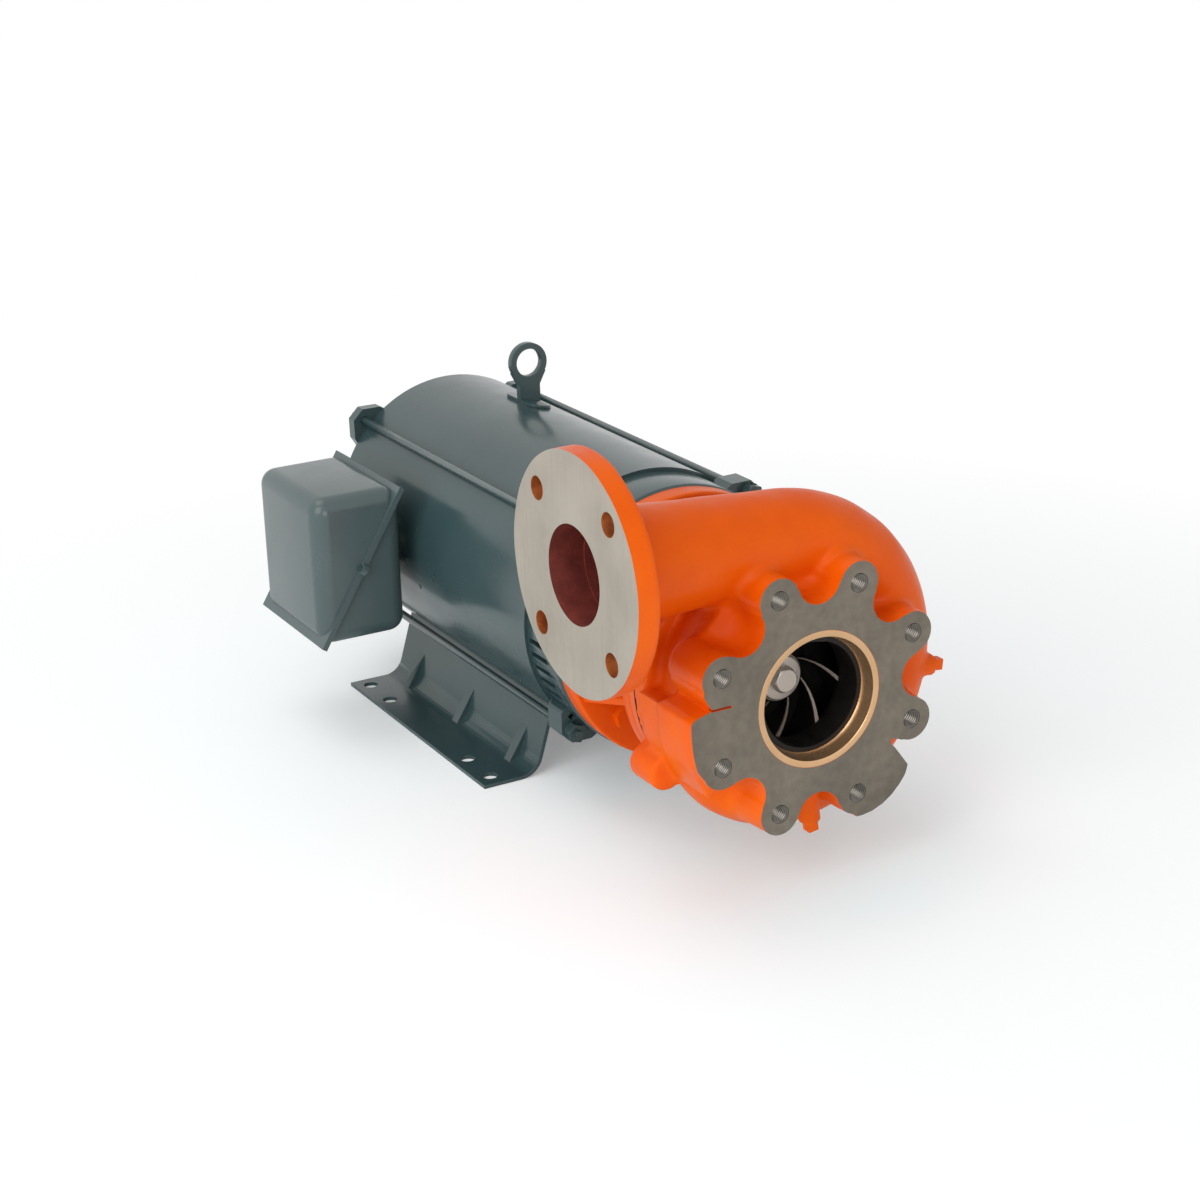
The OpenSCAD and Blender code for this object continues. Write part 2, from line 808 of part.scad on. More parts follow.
module seal_spring() {
    ring_r = sleeve_r + 0.5 + spring_wire;
    first = hub_back_y + spring_wire;
    rise = spring_len - 2 * spring_wire;
    color(bare_steel) skin([
        for (i = [0 : spring_steps])
            let (t = i / spring_steps, a = -360 * spring_turns * t)
            [for (j = [0 : spring_sides - 1])
                let (b = 360 * j / spring_sides, d = ring_r + spring_wire * cos(b))
                [d * cos(a), first + rise * t + spring_wire * sin(b), d * sin(a)]]
    ]);
}

module seal_head() {
    color(cut_iron) turned([
        [sleeve_r, head_y],
        [seal_head_r, head_y],
        [seal_head_r, seat_y - 3],
        [seat_r - 2, seat_y - 3],
        [seat_r - 2, seat_y],
        [sleeve_r, seat_y]
    ]);
}

module slinger() {
    y0 = shoulder_y + 6;
    color(black_rubber) turned([
        [sleeve_r, y0],
        [slinger_r, y0],
        [slinger_r, y0 + slinger_t],
        [sleeve_r + slinger_wall, y0 + 1.6 * slinger_t],
        [sleeve_r + slinger_wall, y0 + slinger_len],
        [sleeve_r, y0 + slinger_len]
    ]);
}

module motor_shaft() {
    color(bare_steel) difference() {
        turned([
            [0, shaft_tip_y],
            [stub_r, shaft_tip_y],
            [stub_r, shoulder_y],
            [sleeve_r, shoulder_y],
            [sleeve_r, front_bearing_y - 6],
            [front_bore_r, front_bearing_y - 6],
            [front_bore_r, front_bearing_end],
            [shaft_core_r, front_bearing_end],
            [shaft_core_r, rear_bearing_y - 14],
            [rear_bore_r + 4, rear_bearing_y],
            [rear_bore_r, rear_bearing_y],
            [rear_bore_r, rear_bearing_end + 2],
            [0, rear_bearing_end + 2]
        ]);
        key_block(0);
        pole(screw_d / 2, shaft_tip_y - 1, shaft_tip_y + screw_len);
    }
}

// Ear on a bracket that a tie rod passes through
module rod_ears(y0, y1) {
    difference() {
        around(rod_count, 0, 45) slab(y0, y1) polygon([
            [shell_r - 14, -24], [shell_r + 2, -20], [ear_r, -7],
            [ear_r, 7], [shell_r + 2, 20], [shell_r - 14, 24]
        ]);
        pole(shell_r - 8, y0 - 1, y1 + 1);
        around(rod_count, rod_circle_r, 45) pole(rod_d / 2 + 0.3, y0 - 1, y1 + 1);
    }
}

// Louvre slots on the lower half of a bracket's rim
louvre_count = 7;

module louvres(y0, y1, r_in, r_out) {
    for (side = [180, 360])
        for (i = [0 : louvre_count - 1]) {
            turn = side == 180 ? 184 + i * louvre_pitch : 356 - i * louvre_pitch;
            rotate([0, -turn, 0])
                translate([r_in, y0, -louvre_w / 2]) cube([r_out - r_in, y1 - y0, louvre_w]);
        }
}

front_ear_y = shell_y - 24;
inner_rim_r = rim_r - bracket_wall;

module front_bracket() {
    hub_r1 = front_race_r + 9;
    wall_y = motor_y + bracket_wall;
    color(motor_grey) difference() {
        union() {
            turned([
                [0, motor_y - register_h],
                [register_r, motor_y - register_h],
                [register_r, motor_y],
                [rim_r - 2, motor_y],
                [rim_r, motor_y + 3],
                [rim_r, shell_y + spigot_len],
                [inner_rim_r, shell_y + spigot_len],
                [inner_rim_r, wall_y + 6],
                [inner_rim_r - 8, wall_y],
                [hub_r1, wall_y],
                [hub_r1, front_bearing_end],
                [0, front_bearing_end]
            ]);
            rod_ears(front_ear_y, shell_y);
            around(face_screw_count, face_circle / 2, 45)
                pole(face_screw / 2 + 7, motor_y, motor_y + 24);
        }
        pole(front_race_r, front_bearing_y, front_bearing_end + 1);
        pole(sleeve_r + 6, motor_y - register_h - 1, front_bearing_y + 1);
        around(face_screw_count, face_circle / 2, 45)
            pole(face_screw / 2, motor_y - register_h - 1, motor_y + 20);
        louvres(motor_y + 18, shell_y - 2, inner_rim_r - 4, rim_r + 4);
    }
}

module rear_bracket() {
    wall_r = rear_race_r + 8;
    rear_ear_y = shell_end + 12;
    nose_y = rear_y - 6;
    color(motor_grey) difference() {
        union() {
            turned([
                [0, shell_end - spigot_len],
                [rim_r, shell_end - spigot_len],
                [rim_r, shell_end],
                [shell_r - 1, shell_end],
                [rim_r - 4, shell_end + 8],
                [rim_r - 14, shell_end + 20],
                [rim_r - 27, shell_end + 30],
                [rear_race_r + 30, nose_y - 8],
                [rear_race_r + 10, nose_y],
                [rear_race_r + 4, rear_y],
                [0, rear_y]
            ]);
            rod_ears(shell_end, rear_ear_y);
        }
        difference() {
            turned([
                [0, shell_end - spigot_len - 1],
                [inner_rim_r, shell_end - spigot_len - 1],
                [inner_rim_r, shell_end + 4],
                [rim_r - 22, shell_end + 18],
                [rim_r - 33, shell_end + 24],
                [rear_race_r + 24, nose_y - 16],
                [wall_r, nose_y - 12],
                [0, nose_y - 12]
            ]);
            pole(wall_r, rear_bearing_y, rear_y);
        }
        pole(rear_race_r, rear_bearing_y - 1, rear_bearing_end + washer_gap);
        pole(rear_bore_r + 6, rear_bearing_y, rear_bearing_end + washer_gap + 4);
        rear_slots();
    }
}

// Air slots in the lower half of the rear bracket, cut along the shaft
module rear_slots() {
    for (i = [-4 : 4])
        translate([i * 13 - 3, shell_end + 6, -rim_r + 8 + abs(i) * 3])
            cube([6, rear_bracket_len, 34]);
}

neck_hole_r = neck_r - 7;
rivet_r = 2.2;

module motor_shell() {
    color(motor_grey) difference() {
        union() {
            tube(shell_r, rim_r, shell_y, shell_end);
            for (y = [mid_y + 22, mid_y + 24])
                rotate([0, y > mid_y + 23 ? 14 : -12, 0])
                    translate([-shell_r - 0.6, y, 0]) rotate([0, 90, 0]) cylinder(r = rivet_r, h = 2);
        }
        translate([-shell_r - 5, mid_y + box_offset, box_z]) rotate([0, 90, 0])
            cylinder(r = neck_hole_r, h = 20);
    }
}

module stator_core() {
    color(cut_iron) tube(rim_r, stator_bore_r, core_y, core_end);
}

module stator_windings() {
    profile_in = stator_bore_r + 6;
    profile_out = rim_r - 9;
    color("firebrick") for (y0 = [core_y - winding_len, core_end])
        turned([
            [profile_in, y0],
            [profile_out - 4, y0],
            [profile_out, y0 + winding_len / 2],
            [profile_out - 4, y0 + winding_len],
            [profile_in, y0 + winding_len]
        ]);
}

module rotor_core() {
    color(cut_iron) tube(stator_bore_r - air_gap, shaft_core_r, core_y, core_end);
}

fan_blades = 12;

module end_ring(y0, direction) {
    ring_y = direction > 0 ? y0 : y0 - 10;
    blade_y = direction > 0 ? y0 + 9 : y0 - fan_len;
    tube(stator_bore_r - 4, stator_bore_r - 20, ring_y, ring_y + 10);
    around(fan_blades, stator_bore_r - 18) translate([0, blade_y, -1.5]) cube([12, fan_len - 9, 3]);
}

module rotor_end_rings() {
    color(bare_steel) {
        end_ring(core_y, -1);
        end_ring(core_end, 1);
    }
}

// Deep-groove ball bearing, given by bore, outside radius, width and place
function ball_r(bore, outer) = (outer - bore) * 0.3;
function pitch_r(bore, outer) = (bore + outer) / 2;
race_t = 0.28;

module outer_race(bore, outer, y0, w) {
    pitch = pitch_r(bore, outer);
    inner = outer - (outer - bore) * race_t;
    rotate([-90, 0, 0]) rotate_extrude() difference() {
        translate([inner, y0]) square([outer - inner, w]);
        translate([pitch, y0 + w / 2]) circle(r = ball_r(bore, outer) + ball_gap);
    }
}

module inner_race(bore, outer, y0, w) {
    pitch = pitch_r(bore, outer);
    rotate([-90, 0, 0]) rotate_extrude() difference() {
        translate([bore, y0]) square([(outer - bore) * race_t, w]);
        translate([pitch, y0 + w / 2]) circle(r = ball_r(bore, outer) + ball_gap);
    }
}

module ball_cage(bore, outer, y0, w, balls) {
    pitch = pitch_r(bore, outer);
    ball = ball_r(bore, outer);
    around(balls, pitch, 10) translate([0, y0 + w / 2, 0]) sphere(r = ball);
    difference() {
        tube(pitch + 2, pitch - 2, y0 + w / 2 - ball - 2, y0 + w / 2 + ball + 2);
        around(balls, pitch, 10) translate([-4, y0 + w / 2, 0]) rotate([0, 90, 0])
            cylinder(r = ball + ball_gap, h = 8);
    }
}

module front_outer_race() {
    color(bare_steel) outer_race(front_bore_r, front_race_r, front_bearing_y, front_bearing_w);
}

module front_inner_race() {
    color(bare_steel) inner_race(front_bore_r, front_race_r, front_bearing_y, front_bearing_w);
}

module front_ball_cage() {
    color(bare_steel) ball_cage(front_bore_r, front_race_r, front_bearing_y, front_bearing_w, 9);
}

module rear_outer_race() {
    color(bare_steel) outer_race(rear_bore_r, rear_race_r, rear_bearing_y, rear_bearing_w);
}

module rear_inner_race() {
    color(bare_steel) inner_race(rear_bore_r, rear_race_r, rear_bearing_y, rear_bearing_w);
}

module rear_ball_cage() {
    color(bare_steel) ball_cage(rear_bore_r, rear_race_r, rear_bearing_y, rear_bearing_w, 9);
}

module bearing_cap() {
    color(cut_iron) tube(front_race_r + 9, shaft_core_r + 1, front_bearing_end, front_bearing_end + cap_t);
}

module wave_washer() {
    color(bare_steel) tube(rear_race_r - 0.3, rear_race_r - 5, rear_bearing_end, rear_bearing_end + washer_gap);
}

rod_front_y = front_ear_y - 2;
rod_back_y = shell_end + 12;

module tie_rods() {
    color(motor_grey) around(rod_count, rod_circle_r, 45) {
        pole(rod_d / 2, front_ear_y, rod_back_y + rod_d * 1.3);
        hex_prism(rod_d * 1.5, front_ear_y - rod_d * 0.65, front_ear_y);
    }
}

module tie_rod_nuts() {
    color(motor_grey) around(rod_count, rod_circle_r, 45) difference() {
        hex_prism(rod_d * 1.5, rod_back_y, rod_back_y + rod_d * 0.9);
        pole(rod_d / 2, rod_back_y - 1, rod_back_y + rod_d);
    }
}

// Pressed base: a cradle under the shell, two sloping webs and two feet
bend_z = -shaft_height + base_t + bend_r;
base_y = mid_y + base_offset - base_len / 2;
base_end = base_y + base_len;

module base_half() {
    web_len = shaft_height / 2;
    foot_angle = -90;
    web_angle = -web_slope;
    along = [sin(web_slope), cos(web_slope)];
    function bend(r, a0, a1) = [for (p = arc(r, a0, a1, 8)) p + [-bend_x, bend_z]];
    difference() {
        polygon(concat(
            [[-foot_edge, -shaft_height], [-foot_edge, -shaft_height + base_t]],
            bend(bend_r, foot_angle, web_angle),
            [bend(bend_r, 0, web_angle)[8] + web_len * along],
            [bend(bend_r + base_t, 0, web_angle)[8] + web_len * along],
            bend(bend_r + base_t, web_angle, foot_angle)
        ));
        circle(r = shell_r);
    }
}

// Where the middle of the left web lies at a height z
function web_x(z) =
    -bend_x + (bend_r + base_t / 2) * cos(web_slope)
    + (z - bend_z + bend_r * sin(web_slope)) * tan(web_slope);

// Angle at which the cradle's edge meets the web, from where the web's line crosses the shell
web_side = web_x(bend_z) * cos(web_slope) - bend_z * sin(web_slope);
web_reach = sqrt(shell_r * shell_r - web_side * web_side);
cradle_angle = atan2(
    web_reach * sin(web_slope) - web_side * cos(web_slope),
    web_reach * cos(web_slope) + web_side * sin(web_slope)
);

module base_outline() {
    base_half();
    mirror([1, 0]) base_half();
    intersection() {
        difference() {
            circle(r = shell_r + base_t);
            circle(r = shell_r);
        }
        polygon([[0, 0], polar(2 * shell_r, -90 - cradle_angle), polar(2 * shell_r, -90 + cradle_angle)]);
    }
}

module dart(y) {
    low = -shaft_height + base_t - eps;
    foot_x = -bend_x + bend_r * 0.2;
    top_z = low + dart_h;
    slab(y - dart_w / 2, y + dart_w / 2)
        polygon([[foot_x, low], [web_x(low + bend_r), low], [web_x(top_z), top_z]]);
}

module motor_base() {
    color(motor_grey) difference() {
        union() {
            slab(base_y, base_end) base_outline();
            for (i = [-1 : 1]) {
                dart(mid_y + i * dart_pitch);
                mirror([1, 0, 0]) dart(mid_y + i * dart_pitch);
            }
        }
        for (span = [foot_span_long, foot_span_short])
            for (sx = [-1, 1])
                for (sy = [-1, 1])
                    translate([sx * foot_span_x / 2, mid_y + base_offset + sy * span / 2, -shaft_height - 1])
                        cylinder(d = foot_hole, h = base_t + 2);
    }
}

module lifting_eye() {
    y0 = mid_y + eye_offset;
    foot_z = sqrt(shell_r * shell_r - eye_side * eye_side);
    hole_z = foot_z + eye_height;
    waist_z = hole_z - eye_ring_r - 3;
    color(motor_grey) difference() {
        union() {
            slab(y0 - eye_plate_t / 2, y0 + eye_plate_t / 2) translate([eye_side, 0]) {
                translate([0, hole_z]) circle(r = eye_ring_r);
                polygon([
                    [-eye_neck / 2, foot_z - eye_neck / 2], [eye_neck / 2, foot_z - eye_neck / 2],
                    [eye_neck / 2, waist_z], [eye_ring_r - 1.5, hole_z - eye_ring_r / 2],
                    [-eye_ring_r + 1.5, hole_z - eye_ring_r / 2], [-eye_neck / 2, waist_z]
                ]);
            }
            intersection() {
                pole(shell_r + saddle_h, y0 - saddle_len, y0 + saddle_len);
                translate([eye_side, y0, 0]) linear_extrude(shell_r + 2 * saddle_h) {
                    square([saddle_w, saddle_len - saddle_w], center = true);
                    for (s = [-1, 1])
                        translate([0, s * (saddle_len - saddle_w) / 2]) circle(d = saddle_w);
                }
            }
        }
        pole(shell_r, y0 - 2 * saddle_len, y0 + 2 * saddle_len);
        translate([eye_side, y0 - eye_plate_t, hole_z]) rotate([-90, 0, 0])
            cylinder(d = eye_hole, h = 2 * eye_plate_t);
    }
}

// Conduit box, drawn about its own middle and then set beside the shell
box_x = -shell_r - box_gap - box_depth / 2;
box_y = mid_y + box_offset;
split_angle = atan2(box_height, box_depth);
split_len = norm([box_depth, box_height]);
box_screw_y = box_len / 2 + box_screw * 0.75 + screw_clear;

module at_box() {
    translate([box_x, box_y, box_z]) children();
}

module rounded(size, r) {
    for (sx = [-1, 1])
        for (sy = [-1, 1])
            translate([sx * (size[0] / 2 - r), sy * (size[1] / 2 - r)]) circle(r = r);
    square([size[0] - 2 * r, size[1]], center = true);
    square([size[0], size[1] - 2 * r], center = true);
}

module rounded_block(x, y, z, r) {
    intersection() {
        rotate([90, 0, 0]) translate([0, 0, -y / 2]) linear_extrude(y) rounded([x, z], r);
        translate([0, 0, -z / 2]) linear_extrude(z) rounded([x, y], r);
        rotate([90, 0, 90]) translate([0, 0, -x / 2]) linear_extrude(x) rounded([y, z], r);
    }
}

// Slab of space on one side of the sloping split, from d0 to d1 away from it
module split_side(d0, d1) {
    rotate([0, -split_angle, 0]) translate([-split_len, -box_len, d0])
        cube([2 * split_len, 2 * box_len, d1 - d0]);
}

// Lip around the split, with an ear for a screw in the middle of each side
module box_lip(d0, d1) {
    rotate([0, -split_angle, 0]) {
        translate([-split_len / 2, -box_len / 2 - lip_w, d0])
            cube([split_len, box_len + 2 * lip_w, d1 - d0]);
        for (sy = [-1, 1])
            translate([0, sy * box_screw_y, d0]) cylinder(r = box_ear_r, h = d1 - d0);
    }
}

module box_half(d0, d1, l0, l1) {
    difference() {
        union() {
            intersection() {
                rounded_block(box_depth, box_len, box_height, box_round);
                split_side(d0, d1);
            }
            box_lip(l0, l1);
        }
        rounded_block(
            box_depth - 2 * box_wall, box_len - 2 * box_wall, box_height - 2 * box_wall, box_round - box_wall
        );
        box_screw_holes(box_screw / 2);
    }
}

module box_screw_holes(r) {
    rotate([0, -split_angle, 0])
        for (sy = [-1, 1])
            translate([0, sy * box_screw_y, -lip_t - 1]) cylinder(r = r, h = 2 * lip_t + 2);
}

module conduit_box_cover() {
    color(motor_grey) at_box() box_half(0, split_len, 0, lip_t);
}

module conduit_box_base() {
    color(motor_grey) difference() {
        at_box() box_half(-split_len, 0, -lip_t, 0);
        translate([-shell_r - box_gap - box_wall - 5, box_y, box_z]) rotate([0, 90, 0])
            cylinder(r = neck_hole_r, h = box_wall + 8);
    }
}

module conduit_box_screws() {
    color(bare_steel) at_box() rotate([0, -split_angle, 0])
        for (sy = [-1, 1])
            translate([0, sy * box_screw_y, 0]) {
                translate([0, 0, -lip_t]) cylinder(d = box_screw, h = 2 * lip_t);
                translate([0, 0, lip_t]) cylinder(d = box_screw * 1.5, h = 2);
            }
}

module conduit_neck() {
    color(motor_grey) difference() {
        translate([-shell_r - box_gap, box_y, box_z]) rotate([0, 90, 0])
            cylinder(r = neck_r, h = box_gap + 20);
        translate([-shell_r - box_gap - 1, box_y, box_z]) rotate([0, 90, 0])
            cylinder(r = neck_hole_r, h = box_gap + 22);
        pole(shell_r, box_y - 2 * neck_r, box_y + 2 * neck_r);
    }
}

volute_casing();
casing_wear_ring();
drain_plug();
gauge_plug();
casing_gasket();
casing_cover();
seal_seat_cup();
seal_seat();
casing_screws();
motor_adapter();
adapter_screws();
impeller();
impeller_key();
impeller_washer();
impeller_screw();
shaft_sleeve();
seal_spring();
seal_head();
slinger();
motor_shaft();
front_bracket();
rear_bracket();
motor_shell();
stator_core();
stator_windings();
rotor_core();
rotor_end_rings();
front_outer_race();
front_inner_race();
front_ball_cage();
rear_outer_race();
rear_inner_race();
rear_ball_cage();
bearing_cap();
wave_washer();
tie_rods();
tie_rod_nuts();
motor_base();
lifting_eye();
conduit_neck();
conduit_box_base();
conduit_box_cover();
conduit_box_screws();
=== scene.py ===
import json
import math

import bmesh
import bpy
import numpy as np
from mathutils import Matrix, Vector


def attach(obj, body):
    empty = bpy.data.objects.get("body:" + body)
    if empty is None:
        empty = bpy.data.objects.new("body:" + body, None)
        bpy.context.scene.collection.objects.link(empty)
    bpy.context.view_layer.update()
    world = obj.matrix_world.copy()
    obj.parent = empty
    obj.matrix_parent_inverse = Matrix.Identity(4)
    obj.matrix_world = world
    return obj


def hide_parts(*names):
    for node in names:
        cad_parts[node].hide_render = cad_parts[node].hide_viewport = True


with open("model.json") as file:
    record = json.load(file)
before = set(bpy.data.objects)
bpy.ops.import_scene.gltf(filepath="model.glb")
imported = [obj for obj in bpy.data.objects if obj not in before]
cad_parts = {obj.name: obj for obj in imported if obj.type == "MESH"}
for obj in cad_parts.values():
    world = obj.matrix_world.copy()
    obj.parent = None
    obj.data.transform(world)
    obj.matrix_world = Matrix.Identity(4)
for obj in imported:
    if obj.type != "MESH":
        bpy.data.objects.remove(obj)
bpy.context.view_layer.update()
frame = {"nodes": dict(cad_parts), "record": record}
nodes = frame["nodes"]
MM = 0.001
FLOOR_Z = -0.15875


# Camera, fitted to the photograph's bolt circles and foot holes

LENS_MM = 71.39
SENSOR_MM = 36.0
CAMERA_AT = (-0.9636, -1.4015, 0.7029)
AZIMUTH, ELEVATION, ROLL = math.radians(-28.890), math.radians(20.001), math.radians(-1.724)


def make_camera():
    data = bpy.data.cameras.new("photo_camera")
    data.lens = LENS_MM
    data.sensor_width = SENSOR_MM
    data.sensor_fit = "HORIZONTAL"
    data.clip_start = 0.05
    data.clip_end = 30.0
    cam = bpy.data.objects.new("photo_camera", data)
    bpy.context.scene.collection.objects.link(cam)
    forward = Vector((
        -math.sin(AZIMUTH) * math.cos(ELEVATION),
        math.cos(AZIMUTH) * math.cos(ELEVATION),
        -math.sin(ELEVATION),
    ))
    level = forward.cross(Vector((0, 0, 1))).normalized()
    upright = level.cross(forward)
    right = level * math.cos(ROLL) + upright * math.sin(ROLL)
    up = upright * math.cos(ROLL) - level * math.sin(ROLL)
    m = Matrix((right, up, -forward)).transposed().to_4x4()
    m.translation = Vector(CAMERA_AT)
    cam.matrix_world = m
    bpy.context.scene.camera = cam


make_camera()


# Node helpers for the materials

class Shader:
    """A material with one Principled node, fed from object coordinates."""

    def __init__(self, name, base, rough, metal=0.0, coat=0.0, coat_rough=0.05, spec=0.5):
        self.mat = bpy.data.materials.new(name)
        self.mat.use_nodes = True
        self.tree = self.mat.node_tree
        self.tree.nodes.clear()
        self.out = self.tree.nodes.new("ShaderNodeOutputMaterial")
        self.bsdf = self.tree.nodes.new("ShaderNodeBsdfPrincipled")
        self.tree.links.new(self.bsdf.outputs[0], self.out.inputs["Surface"])
        self.set("Base Color", (*base, 1))
        self.set("Roughness", rough)
        self.set("Metallic", metal)
        self.set("Coat Weight", coat)
        self.set("Coat Roughness", coat_rough)
        self.set("Specular IOR Level", spec)
        self.coord = self.tree.nodes.new("ShaderNodeTexCoord")
        self.normal = None

    def set(self, socket, value):
        self.bsdf.inputs[socket].default_value = value

    def link(self, a, b):
        self.tree.links.new(a, b)

    def noise(self, scale, detail=3.0, rough=0.5, stretch=None):
        n = self.tree.nodes.new("ShaderNodeTexNoise")
        n.inputs["Scale"].default_value = scale
        n.inputs["Detail"].default_value = detail
        n.inputs["Roughness"].default_value = rough
        self.feed(n, stretch)
        return n.outputs["Fac"]

    def feed(self, n, stretch=None):
        source = self.coord.outputs["Object"]
        if stretch:
            m = self.tree.nodes.new("ShaderNodeMapping")
            m.inputs["Scale"].default_value = stretch
            self.link(source, m.inputs["Vector"])
            source = m.outputs[0]
        self.link(source, n.inputs["Vector"])

    def from_axis(self):
        """Distance from the shaft axis, and the place along it."""
        split = self.tree.nodes.new("ShaderNodeSeparateXYZ")
        self.link(self.coord.outputs["Object"], split.inputs[0])
        flat = self.tree.nodes.new("ShaderNodeCombineXYZ")
        for axis in ("X", "Z"):
            self.link(split.outputs[axis], flat.inputs[axis])
        radius = self.tree.nodes.new("ShaderNodeVectorMath")
        radius.operation = "LENGTH"
        self.link(flat.outputs[0], radius.inputs[0])
        return radius.outputs["Value"], split.outputs["Y"]

    def ramp(self, source, stops):
        r = self.tree.nodes.new("ShaderNodeValToRGB")
        while len(r.color_ramp.elements) < len(stops):
            r.color_ramp.elements.new(0.5)
        for e, (p, c) in zip(r.color_ramp.elements, stops):
            e.position = p
            e.color = (*c, 1)
        self.link(source, r.inputs[0])
        return r.outputs[0]

    def levels(self, source, lo, hi, out_lo, out_hi):
        m = self.tree.nodes.new("ShaderNodeMapRange")
        for key, v in zip(("From Min", "From Max", "To Min", "To Max"), (lo, hi, out_lo, out_hi)):
            m.inputs[key].default_value = v
        self.link(source, m.inputs["Value"])
        return m.outputs["Result"]

    def mix(self, fac, a, b):
        m = self.tree.nodes.new("ShaderNodeMix")
        m.data_type = "RGBA"
        self.link(fac, m.inputs[0])
        for socket, v in ((m.inputs[6], a), (m.inputs[7], b)):
            if isinstance(v, tuple):
                socket.default_value = (*v, 1)
            else:
                self.link(v, socket)
        return m.outputs[2]

    def bump(self, height, strength, distance):
        b = self.tree.nodes.new("ShaderNodeBump")
        b.inputs["Strength"].default_value = strength
        b.inputs["Distance"].default_value = distance
        self.link(height, b.inputs["Height"])
        if self.normal:
            self.link(self.normal, b.inputs["Normal"])
        self.normal = b.outputs[0]
        self.link(self.normal, self.bsdf.inputs["Normal"])

    def color(self, source):
        self.link(source, self.bsdf.inputs["Base Color"])

    def rough(self, source):
        self.link(source, self.bsdf.inputs["Roughness"])


def srgb(r, g, b):
    def one(v):
        v /= 255
        return v / 12.92 if v <= 0.04045 else ((v + 0.055) / 1.055) ** 2.4
    return (one(r), one(g), one(b))


# Materials

def paint_layer(s):
    """Colour of the casting's paint, a little deeper in patches."""
    return s.ramp(s.noise(9.0, 3.0, 0.55), [
        (0.30, srgb(220, 82, 2)), (0.52, srgb(230, 92, 2)), (0.72, srgb(236, 102, 4)),
    ])


def cast_paint():
    s = Shader("cast_paint", srgb(230, 92, 2), 0.40, coat=0.05, coat_rough=0.2, spec=0.14)
    s.color(paint_layer(s))
    s.rough(s.levels(s.noise(38.0, 4.0, 0.6), 0.3, 0.7, 0.32, 0.50))
    s.bump(s.noise(300.0, 4.0, 0.62), 0.28, 0.0007)
    s.bump(s.noise(48.0, 3.0, 0.5), 0.34, 0.0024)
    return s.mat


def cover_material():
    """Cast iron inside the casing, painted on the rim that shows outside it."""
    s = Shader("cover_iron", srgb(120, 114, 106), 0.42)
    radius, _ = s.from_axis()
    outside = s.levels(radius, 0.0900, 0.0905, 0.0, 1.0)
    iron_colour = s.mix(s.noise(70.0, 4.0, 0.65), srgb(84, 79, 74), srgb(120, 114, 106))
    s.color(s.mix(outside, iron_colour, paint_layer(s)))
    s.link(s.levels(outside, 0.0, 1.0, 0.8, 0.0), s.bsdf.inputs["Metallic"])
    s.bump(s.noise(300.0, 4.0, 0.62), 0.20, 0.0006)
    return s.mat


def lathe_rings(s, scale):
    """Turning marks round the shaft axis."""
    w = s.tree.nodes.new("ShaderNodeTexWave")
    w.wave_type = "RINGS"
    w.rings_direction = "Y"
    w.inputs["Scale"].default_value = scale
    w.inputs["Distortion"].default_value = 0.6
    w.inputs["Detail"].default_value = 2.0
    w.inputs["Detail Scale"].default_value = 2.0
    s.feed(w)
    return w.outputs["Fac"]


def suction_face_material():
    s = Shader("suction_face", srgb(128, 118, 106), 0.46, metal=0.75)
    blotch = s.noise(14.0, 5.0, 0.62)
    fine = s.noise(120.0, 3.0, 0.6)
    base = s.ramp(blotch, [
        (0.28, srgb(108, 101, 91)), (0.5, srgb(124, 116, 104)), (0.75, srgb(140, 131, 118)),
    ])
    s.color(s.mix(s.levels(fine, 0.35, 0.8, 0.0, 0.35), base, srgb(82, 73, 64)))
    rings = lathe_rings(s, 260.0)
    s.rough(s.levels(rings, 0.0, 1.0, 0.40, 0.56))
    s.bump(rings, 0.10, 0.0002)
    return s.mat


def discharge_face_material():
    s = Shader("discharge_face", srgb(176, 168, 156), 0.44, metal=0.7)
    s.color(s.ramp(s.noise(12.0, 5.0, 0.6), [
        (0.25, srgb(158, 149, 137)), (0.5, srgb(172, 164, 151)), (0.75, srgb(184, 176, 164)),
    ]))
    lines = s.noise(520.0, 2.0, 0.6, stretch=(1.0, 1.0, 0.03))
    s.rough(s.levels(lines, 0.3, 0.7, 0.36, 0.54))
    s.bump(lines, 0.18, 0.0002)
    return s.mat


def primer():
    s = Shader("bore_primer", srgb(112, 42, 34), 0.62)
    s.color(s.ramp(s.noise(60.0, 4.0, 0.6), [(0.3, srgb(92, 32, 27)), (0.7, srgb(126, 50, 40))]))
    s.bump(s.noise(320.0, 3.0, 0.6), 0.4, 0.0008)
    return s.mat


def tapped():
    s = Shader("tapped_hole", srgb(150, 144, 136), 0.22, metal=1.0)
    s.color(s.mix(s.noise(120.0, 3.0, 0.6), srgb(84, 80, 75), srgb(132, 127, 120)))
    return s.mat


def drilled():
    s = Shader("drilled_hole", srgb(176, 98, 40), 0.5, metal=0.3)
    s.color(s.ramp(s.noise(90.0, 3.0, 0.6), [(0.35, srgb(140, 76, 34)), (0.7, srgb(196, 112, 46))]))
    return s.mat


def bronze():
    s = Shader("bronze_ring", srgb(214, 174, 128), 0.26, metal=0.8, spec=1.0)
    s.color(s.mix(s.noise(40.0, 3.0, 0.5), srgb(220, 180, 138), srgb(204, 160, 114)))
    return s.mat


def enamel(name, light, dark):
    s = Shader(name, light, 0.2, coat=0.06, coat_rough=0.08, spec=0.48)
    # Painted reflection colour: the warm specular tint makes the enamel's reflections look as if
    # they mirrored warm surroundings.
    s.set("Specular Tint", (1.0, 0.92, 0.80, 1))
    s.color(s.mix(s.levels(s.noise(7.0, 3.0, 0.5), 0.3, 0.7, 0.0, 1.0), dark, light))
    s.rough(s.levels(s.noise(30.0, 3.0, 0.5), 0.3, 0.7, 0.20, 0.28))
    return s.mat


